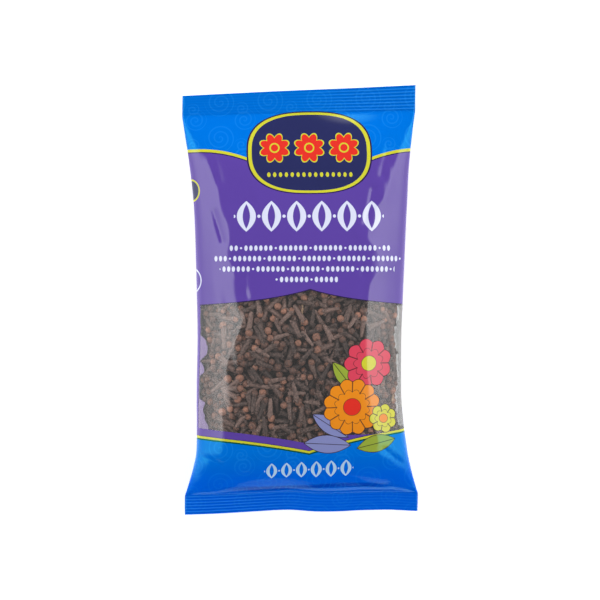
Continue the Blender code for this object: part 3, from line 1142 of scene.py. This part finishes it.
# Free room beside the cloves: the least room, and the gaps that come on top of it, as (y, gap)
EDGE_ROOM = 0.0014
LEFT_GAPS = (
    (-0.0830, 0.0056),
    (-0.0693, 0.0052),
    (-0.0660, 0.0036),
    (-0.0594, 0.0022),
    (-0.0561, 0.0032),
    (-0.0534, 0.0000),
    (-0.0420, 0.0000),
    (-0.0390, 0.0022),
    (-0.0360, 0.0020),
    (-0.0335, 0.0002),
    (-0.0297, 0.0034),
    (-0.0264, 0.0040),
    (-0.0220, 0.0026),
    (-0.0180, 0.0000),
    (0.0200, 0.0000),
)
RIGHT_GAPS = (
    (-0.0830, 0.0018),
    (-0.0640, 0.0012),
    (-0.0510, 0.0010),
    (-0.0480, 0.0000),
    (-0.0300, 0.0000),
    (-0.0270, 0.0006),
    (-0.0180, 0.0018),
    (-0.0130, 0.0014),
    (-0.0100, 0.0000),
    (0.0000, 0.0010),
    (0.0200, 0.0010),
)
FILM_CLEARANCE = 0.0004

# The kinds of spice: a whole clove is a stem with teeth and a bud, a stalk is a thin stem
BUD_RADIUS = 0.0020
BUD_RISE = 0.0002
LOOSE_BUD_SHARE = 0.97
LOOSE_BUD_LENGTH = 0.0001
BUD_TINT_POWER = 2.2
STEM_LENGTH = 0.0104
STEM_RADIUS = 0.00132
STEM_HEAD = 0.0010
STALK_STRETCH = 1.1
STALK_RADIUS = 0.0006

# Balls that stand for a piece while it settles: places from head to tail, and widths
HEAD_RADIUS = {"whole": 0.0024, "bare": 0.0018, "stalk": 0.0008}
REST_RADIUS = {"whole": STEM_RADIUS, "bare": STEM_RADIUS, "stalk": 0.0007}
BALL_PLACES = (0.0, 0.33, 0.64, 0.94)
BALL_WIDTHS = (1.05, 0.95, 0.75)

# How the pieces settle; in the calm rounds at the end they no longer push each other
SETTLE_ROUNDS = 90
CALM_ROUNDS = 8
CLEARING_ROUNDS = 3
PAIR_ROUNDS = 10
PAIR_REACH = 0.0065
PAIR_BLOCK = 400
PUSH_SHARE = 0.6
TOUCH_SHARE = 0.94
SETTLE_GAP = 0.00015
NEAR_STEP = 0.003
DEEP_STEP = 0.001
DEEP_SHARE = 0.3
END_SHARE = 0.2
CLEAR_SHARE = 1.15
CLEAR_GAP = 0.0003

# A stem from its tail up: (height as a share of the length, width as a share of the thickness)
STEM_PROFILE = (
    (0.0, 0.52),
    (0.10, 0.74),
    (0.28, 0.84),
    (0.48, 0.96),
    (0.68, 1.08),
    (0.86, 1.18),
    (1.0, 1.10),
)
STEM_SIDES = 8
STEM_BEND = 0.0006
STEM_EDGES = 0.12
STEM_ROUGH = 0.05

# The four teeth of the calyx: (share of the reach, half width, half thickness) at root and middle
TEETH = 4
TOOTH_PROFILE = ((0.0, 0.00085, 0.00042), (0.55, 0.00068, 0.00030))
TOOTH_TURN = 0.08
TOOTH_LEAN = (0.35, 1.05)
TOOTH_REACH = (0.0016, 0.0024)
TOOTH_ROOT = 0.86
TOOTH_OVERLAP = 0.0006
TOOTH_BEND = 0.0002

# The round bud, its height as a share of its width, and the creases between its petals
BUD_SIDES = 12
BUD_RINGS = 6
BUD_TALL = (0.90, 1.08)
BUD_CREASE = 0.07
BUD_CREASE_POWER = 6
BUD_ROUGH = 0.02
BUD_TOP = 0.97


def film_distance(points):
    """Distance from the film, negative outside it, and the direction inwards."""
    x, y, z = points.T
    half, depth = section(y)
    across = x - along(MIDDLE_LINE, y)
    up = z - widest_height(y, depth)
    tall = depth * np.where(up > 0.0, 1.0 - WIDEST_SHARE, WIDEST_SHARE)
    u = np.abs(across) / half
    v = np.abs(up) / tall
    size = np.maximum((u ** CROWN_POWER + v ** CROWN_POWER) ** (1.0 / CROWN_POWER), TINY)
    slope_x = (u / size) ** (CROWN_POWER - 1.0) * np.sign(across) / half
    slope_z = (v / size) ** (CROWN_POWER - 1.0) * np.sign(up) / tall
    slope = np.maximum(np.hypot(slope_x, slope_z), TINY)
    front = (up > 0.0) * smooth_step(v / FRONT_SHARE)
    distance = (1.0 - size) / slope + front * relief(across, y)
    return distance, np.stack([-slope_x / slope, np.zeros(len(x)), -slope_z / slope], 1)


def inner_place(points):
    """Distance from the film or the free room at the sides, and the direction inwards."""
    distance, inwards = film_distance(points)
    y = points[:, 1]
    across = points[:, 0] - along(MIDDLE_LINE, y)
    room = EDGE_ROOM + np.where(across < 0.0, along(LEFT_GAPS, y), along(RIGHT_GAPS, y))
    beside = section(y)[0] - room - np.abs(across)
    nearer = beside < distance
    sideways = np.stack([-np.sign(across), np.zeros(len(y)), np.zeros(len(y))], 1)
    inwards[nearer] = sideways[nearer]
    return np.where(nearer, beside, distance), inwards


def scatter(source, count):
    """Seeded places in the layer under the film, with lengthwise directions lying along it."""
    y = source.uniform(CLOVE_LOW_Y, CLOVE_TOP_Y, count)
    s = source.uniform(*CLOVE_REACH, count)
    points = np.zeros((count, 3))
    for k in range(count):
        half, depth = section(y[k])
        curve_x, curve_z, length = half_section(half, depth)
        x = math.copysign(np.interp(abs(s[k]), length, curve_x), s[k]) + along(MIDDLE_LINE, y[k])
        z = np.interp(abs(s[k]), length, curve_z) + widest_height(y[k], depth)
        points[k] = (x, y[k], z)
    _, inwards = inner_place(points)
    points = points + inwards * source.uniform(SHELL_START, SHELL_DEPTH, (count, 1))
    turn = source.uniform(0.0, 2.0 * math.pi, count)
    along_y = np.tile([0.0, 1.0, 0.0], (count, 1))
    side = np.cross(inwards, along_y)
    tilt = source.normal(0.0, CLOVE_TILT, (count, 1))
    directions = along_y * np.cos(turn)[:, None] + side * np.sin(turn)[:, None] + inwards * tilt
    return points, directions / np.linalg.norm(directions, axis=1)[:, None]


def ball_centres(heads, tails, owner, places):
    """Middles of the balls that stand for the pieces."""
    return heads[owner] * (1.0 - places)[:, None] + tails[owner] * places[:, None]


def settle(heads, tails, lengths, radii, places, rounds):
    """Push overlapping pieces apart and keep them between the film and the core."""
    count, balls = radii.shape
    owner = np.repeat(np.arange(count), balls)
    places = places.ravel()
    radius = radii.ravel()
    real = radius > 0.0
    weight = np.where(real, 1.0, 0.0)
    total = np.maximum(np.bincount(owner, weight, count), 1.0)
    for step in range(rounds):
        centres = ball_centres(heads, tails, owner, places)
        if step % PAIR_ROUNDS == 0:
            a, b = close_pairs(centres, owner, real)
        strength = 0.0 if step >= rounds - CALM_ROUNDS else PUSH_SHARE
        apart = centres[b] - centres[a]
        distance = np.maximum(np.linalg.norm(apart, axis=1), TINY)
        overlap = np.maximum(TOUCH_SHARE * (radius[a] + radius[b]) - distance, 0.0)
        push = apart * (0.5 * overlap / distance)[:, None]
        move = np.zeros_like(centres)
        np.add.at(move, a, -strength * push)
        np.add.at(move, b, strength * push)
        depth, inwards = inner_place(centres + move)
        too_near = np.minimum(np.maximum(radius + SETTLE_GAP - depth, 0.0), NEAR_STEP)
        too_deep = np.minimum(np.maximum(depth - SHELL_DEPTH, 0.0), DEEP_STEP)
        move = move + inwards * (too_near - DEEP_SHARE * too_deep)[:, None]
        move[:, 1] += np.maximum(CLOVE_LOW_Y + radius - (centres + move)[:, 1], 0.0)
        move[~real] = 0.0
        for ends, share in ((heads, 1.0 - places), (tails, places)):
            pull = np.maximum(np.bincount(owner, weight * share, count), END_SHARE * total)
            for k in range(3):
                ends[:, k] += np.bincount(owner, move[:, k] * share * weight, count) / pull
        middle = 0.5 * (heads + tails)
        axis = heads - tails
        axis = axis / np.maximum(np.linalg.norm(axis, axis=1), TINY)[:, None]
        heads[:] = middle + 0.5 * axis * lengths[:, None]
        tails[:] = middle - 0.5 * axis * lengths[:, None]
    piece = np.arange(count)
    for _ in range(CLEARING_ROUNDS):
        depth, inwards = inner_place(ball_centres(heads, tails, owner, places))
        too_near = np.where(real, np.maximum(CLEAR_SHARE * radius + CLEAR_GAP - depth, 0.0), 0.0)
        too_near = too_near.reshape(count, balls)
        worst = too_near.argmax(1)
        shift = inwards.reshape(count, balls, 3)[piece, worst] * too_near[piece, worst][:, None]
        heads = heads + shift
        tails = tails + shift
    return heads, tails


def close_pairs(centres, owner, real):
    """Pairs of balls of different pieces that are near enough to meet soon."""
    index = np.nonzero(real)[0]
    points = centres[index]
    first = []
    second = []
    for start in range(0, len(index), PAIR_BLOCK):
        block = points[start:start + PAIR_BLOCK]
        away = np.abs(points[None, :, :] - block[:, None, :]).max(2)
        i, j = np.nonzero(away < PAIR_REACH)
        i = i + start
        apart = (i < j) & (owner[index[i]] != owner[index[j]])
        first.append(index[i[apart]])
        second.append(index[j[apart]])
    return np.concatenate(first), np.concatenate(second)


def turned(head, tail, roll):
    """Rotation that takes the z axis of a piece from its tail to its head."""
    axis = head - tail
    axis = axis / np.linalg.norm(axis)
    helper = np.array([0.0, 0.0, 1.0]) if abs(axis[2]) < 0.9 else np.array([1.0, 0.0, 0.0])
    side = np.cross(helper, axis)
    side = side / np.linalg.norm(side)
    up = np.cross(axis, side)
    first = side * math.cos(roll) + up * math.sin(roll)
    second = np.cross(axis, first)
    return np.stack([first, second, axis], 1)


def stem_shape(source, length, thick, with_teeth=True):
    """A dried stem with its four pointed teeth, from the tail at z = 0."""
    bend = source.normal(0.0, STEM_BEND, 2)
    phase = source.uniform(0.0, 0.5)
    verts = []
    for height, width in STEM_PROFILE:
        for k in range(STEM_SIDES):
            angle = 2.0 * math.pi * k / STEM_SIDES
            edges = STEM_EDGES * math.cos(4.0 * angle + phase)
            radius = thick * width * (1.0 + edges + source.normal(0.0, STEM_ROUGH))
            x = radius * math.cos(angle) + bend[0] * height * height
            y = radius * math.sin(angle) + bend[1] * height * height
            verts.append((x, y, height * length))
    faces = grid_faces(len(STEM_PROFILE), STEM_SIDES, closed=True)
    faces.append(tuple(range(STEM_SIDES - 1, -1, -1)))
    faces.append(tuple(range(len(verts) - STEM_SIDES, len(verts))))
    if with_teeth:
        for k in range(TEETH):
            add_tooth(source, verts, faces, thick, length, bend, 2.0 * math.pi * (k + 0.5) / TEETH)
    return verts, faces


def add_tooth(source, verts, faces, thick, length, bend, angle):
    """One tooth of the calyx, leaning outwards."""
    angle = angle + source.normal(0.0, TOOTH_TURN)
    lean = source.uniform(*TOOTH_LEAN)
    reach = source.uniform(*TOOTH_REACH)
    out = np.array([math.cos(angle), math.sin(angle), 0.0])
    wide = np.array([-math.sin(angle), math.cos(angle), 0.0])
    rise = np.array([0.0, 0.0, 1.0])
    foot = rise * (length - TOOTH_OVERLAP) + np.array([bend[0], bend[1], 0.0])
    root = out * (TOOTH_ROOT * thick) + foot
    way = out * math.sin(lean) + rise * math.cos(lean)
    face = out * math.cos(lean) - rise * math.sin(lean)
    start = len(verts)
    for share, half_wide, half_thick in TOOTH_PROFILE:
        middle = root + way * (reach * share) + face * (TOOTH_BEND * share)
        for side, front in ((-1, -1), (1, -1), (1, 1), (-1, 1)):
            verts.append(tuple(middle + wide * (side * half_wide) + face * (front * half_thick)))
    verts.append(tuple(root + way * reach - face * TOOTH_BEND))
    for k in range(4):
        n = (k + 1) % 4
        faces.append((start + k, start + n, start + 4 + n, start + 4 + k))
        faces.append((start + 4 + k, start + 4 + n, start + 8))
    faces.append((start + 3, start + 2, start + 1, start))


def bud_shape(source, middle_z, radius):
    """The round bud: four petals folded over one another."""
    tall = radius * source.uniform(*BUD_TALL)
    verts = [(0.0, 0.0, middle_z - radius)]
    for ring in range(1, BUD_RINGS):
        tip = math.pi * ring / BUD_RINGS
        for k in range(BUD_SIDES):
            angle = 2.0 * math.pi * k / BUD_SIDES
            crease = 1.0 - BUD_CREASE * abs(math.cos(2.0 * angle)) ** BUD_CREASE_POWER * math.sin(tip)
            wide = radius * crease * (1.0 + source.normal(0.0, BUD_ROUGH)) * math.sin(tip)
            verts.append((wide * math.cos(angle), wide * math.sin(angle), middle_z - tall * math.cos(tip)))
    verts.append((0.0, 0.0, middle_z + tall * BUD_TOP))
    faces = grid_faces(BUD_RINGS - 1, BUD_SIDES, closed=True, start=1)
    last = 1 + (BUD_RINGS - 2) * BUD_SIDES
    for k in range(BUD_SIDES):
        n = (k + 1) % BUD_SIDES
        faces.append((0, 1 + n, 1 + k))
        faces.append((last + k, last + n, len(verts) - 1))
    return verts, faces


class Heap:
    """Collects many small shapes into one mesh."""

    def __init__(self):
        self.points = []
        self.faces = []
        self.tints = []
        self.count = 0

    def add(self, shape, rotation, origin, tint):
        verts, faces = shape
        placed = np.asarray(verts) @ rotation.T + origin
        self.points.append(placed)
        self.faces.extend(tuple(index + self.count for index in face) for face in faces)
        self.tints.append(np.full(len(placed), tint))
        self.count += len(placed)

    def build(self, name, material, offset):
        """One mesh, with every tip that would reach through the film pressed back under it."""
        points = np.concatenate(self.points)
        distance, inwards = film_distance(points)
        points = points + inwards * np.maximum(FILM_CLEARANCE - distance, 0.0)[:, None]
        piece = add_mesh(name, points - offset, self.faces, material)
        add_attribute(piece, "tint", "FLOAT", np.concatenate(self.tints))
        return piece


def make_cloves(offset):
    """All the loose spice near the film, one piece for each kind."""
    source = np.random.default_rng(CLOVE_SEED)
    kinds = [kind for kind, count in CLOVE_COUNTS.items() for _ in range(count)]
    points, directions = scatter(source, len(kinds))
    size = np.clip(source.normal(1.0, SIZE_SPREAD, len(kinds)), *SIZE_RANGE)
    lengths = np.zeros(len(kinds))
    radii = np.zeros((len(kinds), len(BALL_PLACES)))
    places = np.zeros_like(radii)
    for k, kind in enumerate(kinds):
        if kind == "bud":
            lengths[k] = LOOSE_BUD_LENGTH
            radii[k, 0] = LOOSE_BUD_SHARE * BUD_RADIUS * size[k]
            continue
        lengths[k] = STEM_LENGTH * size[k] * (STALK_STRETCH if kind == "stalk" else 1.0)
        radii[k, 0] = HEAD_RADIUS[kind] * size[k]
        radii[k, 1:] = REST_RADIUS[kind] * size[k] * np.array(BALL_WIDTHS)
        places[k] = BALL_PLACES
    heads = points + directions * (0.5 * lengths)[:, None]
    tails = points - directions * (0.5 * lengths)[:, None]
    rounds = SETTLE_ROUNDS
    heads, tails = settle(heads, tails, lengths, radii, places, rounds)

    stems = Heap()
    buds = Heap()
    stalks = Heap()
    for k, kind in enumerate(kinds):
        rotation = turned(heads[k], tails[k], source.uniform(0.0, 2.0 * math.pi))
        tint = source.uniform(0.0, 1.0)
        bud_tint = tint ** BUD_TINT_POWER
        if kind == "bud":
            buds.add(bud_shape(source, 0.0, radii[k, 0]), rotation, heads[k], bud_tint)
        elif kind == "stalk":
            stalk = stem_shape(source, lengths[k], STALK_RADIUS * size[k], False)
            stalks.add(stalk, rotation, tails[k], tint)
        else:
            stem = stem_shape(source, lengths[k] - STEM_HEAD * size[k], STEM_RADIUS * size[k])
            stems.add(stem, rotation, tails[k], tint)
        if kind == "whole":
            bud = bud_shape(source, lengths[k] + BUD_RISE, BUD_RADIUS * size[k])
            buds.add(bud, rotation, tails[k], bud_tint)
    stem_look = clove_material("clove_stem", rgb(66, 53, 50), rgb(152, 123, 114), 1100.0, 0.00016, 0.50)
    bud_look = clove_material("clove_bud", rgb(98, 72, 64), rgb(194, 136, 112), 1300.0, 0.00010, 0.45)
    stalk_look = clove_material("clove_stalk", rgb(150, 118, 94), rgb(206, 172, 140), 1500.0, 0.00006, 0.6)
    return [
        stems.build("clove_stems", stem_look, offset),
        buds.build("clove_buds", bud_look, offset),
        stalks.build("clove_stalks", stalk_look, offset),
    ]


# The cloves too deep to be told apart; its unevenness is (length, share, pattern of noise)
CORE_REACH = (-0.0900, 0.0700)
CORE_STATIONS = 110
CORE_SIDES = 120
CORE_INSET = 0.0075
CORE_LEAST = 0.0020
CORE_ROUGH = 0.0009
CORE_MIDDLE_Z = 0.012
CORE_WOBBLES = (
    (0.0034, 1.0, (31.0, 31.0, 12)),
    (0.0019, 0.5, (11.0, 60.0, 13)),
)
CORE_TINT = 0.4


def make_core(offset):
    """A dark rough heap below the loose cloves."""
    stations = np.linspace(*CORE_REACH, CORE_STATIONS)
    angle = 2.0 * math.pi * np.arange(CORE_SIDES) / CORE_SIDES
    power = 2.0 / CROWN_POWER
    wide = np.sign(np.cos(angle)) * np.abs(np.cos(angle)) ** power
    tall = np.sign(np.sin(angle)) * np.abs(np.sin(angle)) ** power
    tall = tall * np.where(tall > 0.0, 1.0 - WIDEST_SHARE, WIDEST_SHARE)
    rings = []
    for y in stations:
        half, depth = section(y)
        x = (half - CORE_INSET) * wide
        z = max(depth - 2.0 * CORE_INSET, CORE_LEAST) * tall + widest_height(y, depth)
        rings.append(np.stack([x, np.full(CORE_SIDES, y), z], 1))
    points = np.concatenate(rings)
    side = np.sign(points[:, 2] - CORE_MIDDLE_Z)
    for length, share, pattern in CORE_WOBBLES:
        wobble = value_noise(points[:, 0] / length, points[:, 1] / length, pattern)
        points[:, 2] += CORE_ROUGH * share * wobble * side
    faces = grid_faces(CORE_STATIONS, CORE_SIDES, closed=True)
    faces.append(tuple(range(CORE_SIDES)))
    faces.append(tuple(range(len(points) - 1, len(points) - CORE_SIDES - 1, -1)))
    look = clove_material("clove_core", rgb(62, 54, 50), rgb(116, 100, 92), 600.0, 0.0003, 0.8)
    piece = add_mesh("clove_core", points - offset, faces, look)
    add_attribute(piece, "tint", "FLOAT", np.full(len(points), CORE_TINT))
    return piece


# The film's inner side, seen beside the cloves; at the right it is clear film tinted a half see-through grey,
# a painted shadow over the floor seen through it
LINING_GAP = 0.00012
LINING_COLUMNS = 64
LINING_PAST = 0.004
LINING_WANDER = 0.0005
LINING_LENGTH = 0.0017
LINING_PATTERN = (30.0, 3.0, 6)
LINING_ROUGHNESS = 0.5
LEFT_LINING = rgb(140, 118, 172)
# Painted shadow: a half see-through grey that darkens the floor seen through the clear film at the right
RIGHT_SHADE_GREY = rgb(92, 88, 88)
RIGHT_SHADE_COVER = 0.50


def lining_start(y, side, gaps):
    """Place on the flat film at which the free gap beside the cloves ends."""
    half, depth = section(y)
    curve_x, _, length = half_section(half, depth)
    wander = LINING_WANDER * value_noise(np.array(y) / LINING_LENGTH, np.array(side), LINING_PATTERN)
    room = EDGE_ROOM + max(along(gaps, y) + wander, 0.0)
    return np.interp(half - room, curve_x[:CROWN_POINTS], length[:CROWN_POINTS])


def make_lining(name, grid, side, gaps, material):
    """The inside of the film at one side, seen beside the cloves, and over the same half of the back."""
    normal = np.cross(np.gradient(grid, axis=1), np.gradient(grid, axis=0))
    normal = normal / np.maximum(np.linalg.norm(normal, axis=2), TINY_AREA)[:, :, None]
    inner = grid - normal * LINING_GAP
    columns = film_columns()
    stations = film_stations()
    kept = inner[(stations > CLOVE_LOW_Y - LINING_PAST) & (stations < CLOVE_TOP_Y + LINING_PAST)]
    points = []
    for row in kept:
        start = lining_start(row[len(columns) // 2, 1], side, gaps)
        place = side * np.linspace(start, FLAT_WIDTH, LINING_COLUMNS)
        points.append(np.stack([np.interp(place, columns, row[:, axis]) for axis in range(3)], 1))
    faces = [turned_over(face)[::int(side)] for face in grid_faces(len(kept), LINING_COLUMNS)]
    return add_mesh(name, np.concatenate(points), faces, material)


def lining_film(name, colour, cover):
    """One even colour; with a cover below 1 the floor shows through it."""
    nodes = new_material(name)
    nodes.feed(nodes.shader, {"Base Color": colour, "Alpha": cover, "Roughness": LINING_ROUGHNESS})
    return nodes.owner


# The fin of the back seam: two sheets that start just left of the pouch's middle line
FIN_START = -0.0004
FIN_WIDTH = 0.0120
FIN_COLUMNS = 14
FIN_STEP = 0.0009
FIN_PAST_SEAL = 0.004
FIN_GAP = 0.00006
FIN_SHEET = 0.00016
FIN_PATCH_SCALE = 220.0
FIN_RIB_SCALE = 230.0
FIN_RIB_HEIGHT = 0.00010
FIN_ROUGHNESS = 0.22


def fin_film():
    """The print's purple, a little uneven and finely ribbed."""
    nodes = new_material("fin_film")
    patches = nodes.noise(FIN_PATCH_SCALE, 3.0)
    rib_inputs = {"Vector": nodes.place(), "Scale": FIN_RIB_SCALE}
    ribs = nodes.add("ShaderNodeTexWave", rib_inputs, bands_direction="X")
    nodes.feed(nodes.shader, {
        "Base Color": nodes.mix(patches, rgb(84, 54, 150), rgb(112, 84, 174)),
        "Roughness": FIN_ROUGHNESS,
        "Normal": nodes.bump(ribs.outputs["Fac"], FIN_RIB_HEIGHT, 0.6),
    })
    return nodes.owner


def make_fin(offset):
    """The fin of the back seam, folded flat against the underside."""
    stations = np.arange(LOW_SEAL_Y - FIN_PAST_SEAL, TOP_SEAL_Y + FIN_PAST_SEAL, FIN_STEP)
    x, y = np.meshgrid(np.linspace(FIN_START, FIN_WIDTH, FIN_COLUMNS), stations)
    layers = []
    for lift in (FIN_GAP, FIN_GAP + FIN_SHEET):
        z = along(UNDERSIDE, y) + lift + seal_wave(x, y)
        layers.append(np.stack([x + along(MIDDLE_LINE, y), y, z], 2).reshape(-1, 3))
    rows = len(stations)
    size = rows * FIN_COLUMNS
    faces = []
    for face in grid_faces(rows, FIN_COLUMNS):
        faces.append(turned_over(face))
        faces.append(tuple(index + size for index in face))
    for row in range(rows - 1):
        left = row * FIN_COLUMNS
        right = left + FIN_COLUMNS - 1
        faces.append((left, left + size, left + size + FIN_COLUMNS, left + FIN_COLUMNS))
        faces.append((right + FIN_COLUMNS, right + size + FIN_COLUMNS, right + size, right))
    for low in range(FIN_COLUMNS - 1):
        top = size - FIN_COLUMNS + low
        faces.append((low, low + 1, low + 1 + size, low + size))
        faces.append((top + 1, top, top + size, top + 1 + size))
    return add_mesh("back_fin", np.concatenate(layers) - offset, faces, fin_film())


# Floor, light and view


def make_floor():
    """A pale floor that glows a little, so that it shows as white."""
    nodes = new_material("pale_floor")
    nodes.feed(nodes.shader, {
        "Base Color": nodes.mix(nodes.noise(3.0, 3.0), FLOOR_DARK, FLOOR_LIGHT),
        "Roughness": 0.9,
        "Specular IOR Level": 0.1,
        "Emission Color": WHITE,
        "Emission Strength": FLOOR_GLOW,
    })
    corners = [(x * FLOOR_HALF, y * FLOOR_HALF, -FLOOR_DROP) for x, y in ((-1, -1), (1, -1), (1, 1), (-1, 1))]
    floor = add_mesh("floor", np.array(corners), [(0, 1, 2, 3)], nodes.owner, smooth=False)


def make_light():
    """Two soft lights that fill the sky at the left and right, and a low one behind the top seal."""
    world = bpy.data.worlds.new("studio")
    bpy.context.scene.world = world
    sky = Nodes(world)
    side, ahead, _ = sky.parts(sky.add("ShaderNodeTexCoord").outputs["Generated"])
    panel = abs(side).ramp(PANEL_EDGE - PANEL_SOFTNESS, PANEL_EDGE + PANEL_SOFTNESS)
    outer = abs(side).ramp(PANEL_OUTER_FROM, 1.0)
    glow = panel * (outer * (PANEL_OUTER - PANEL_GLOW) + PANEL_GLOW) * (ahead * PANEL_LEAN + 1.0)
    glow = glow * ahead.ramp(PANEL_FOOT, PANEL_FOOT_FULL)
    back = ahead.ramp(BACK_FROM, BACK_FULL) * BACK_GLOW
    sky.feed(sky.tree.nodes["Background"], {"Color": WHITE, "Strength": glow + back + CEILING_GLOW})


def make_camera():
    camera = bpy.data.cameras.new("camera")
    camera.sensor_width = SENSOR_WIDTH
    camera.lens = SENSOR_WIDTH * (CAMERA_HEIGHT - SHARP_HEIGHT) / FRAME_WIDTH
    camera.clip_start = 0.05
    camera.clip_end = 20.0
    place = bpy.data.objects.new("camera", camera)
    place.location = (0.0, 0.0, CAMERA_HEIGHT)
    place.rotation_euler = (0.0, 0.0, 0.0)
    bpy.context.scene.collection.objects.link(place)
    bpy.context.scene.camera = place


grid_points, grid_places = film_grid()
low_corner = grid_points.reshape(-1, 3).min(0)
high_corner = grid_points.reshape(-1, 3).max(0)
offset = np.array([0.5 * (low_corner[0] + high_corner[0]), 0.5 * (low_corner[1] + high_corner[1]), 0.0])
film = split_grid(grid_points - offset, grid_places)
pieces = []
film_parts = (
    ("film_print", "print", printed_film()),
    ("film_window", "window", window_film()),
)
for piece_name, part_name, look in film_parts:
    part_points, part_places, part_faces = film[part_name]
    piece = add_mesh(piece_name, part_points, part_faces, look)
    add_attribute(piece, "print_place", "FLOAT_VECTOR", part_places)
    pieces.append(piece)
printed_inside = lining_film("print_inside", LEFT_LINING, 1.0)
# Painted shadow over the floor seen through the clear film at the right
shaded_clear_inside = lining_film("shaded_clear_inside", RIGHT_SHADE_GREY, RIGHT_SHADE_COVER)
pieces.append(make_lining("left_lining", grid_points - offset, -1.0, LEFT_GAPS, printed_inside))
pieces.append(make_lining("right_lining_shade", grid_points - offset, 1.0, RIGHT_GAPS, shaded_clear_inside))
pieces.append(make_fin(offset))
pieces.append(make_core(offset))
pieces.extend(make_cloves(offset))
for piece in pieces:
    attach(piece, "root")
    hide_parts("pouch")

make_floor()
make_light()
make_camera()
bpy.context.scene.view_settings.view_transform = "Standard"
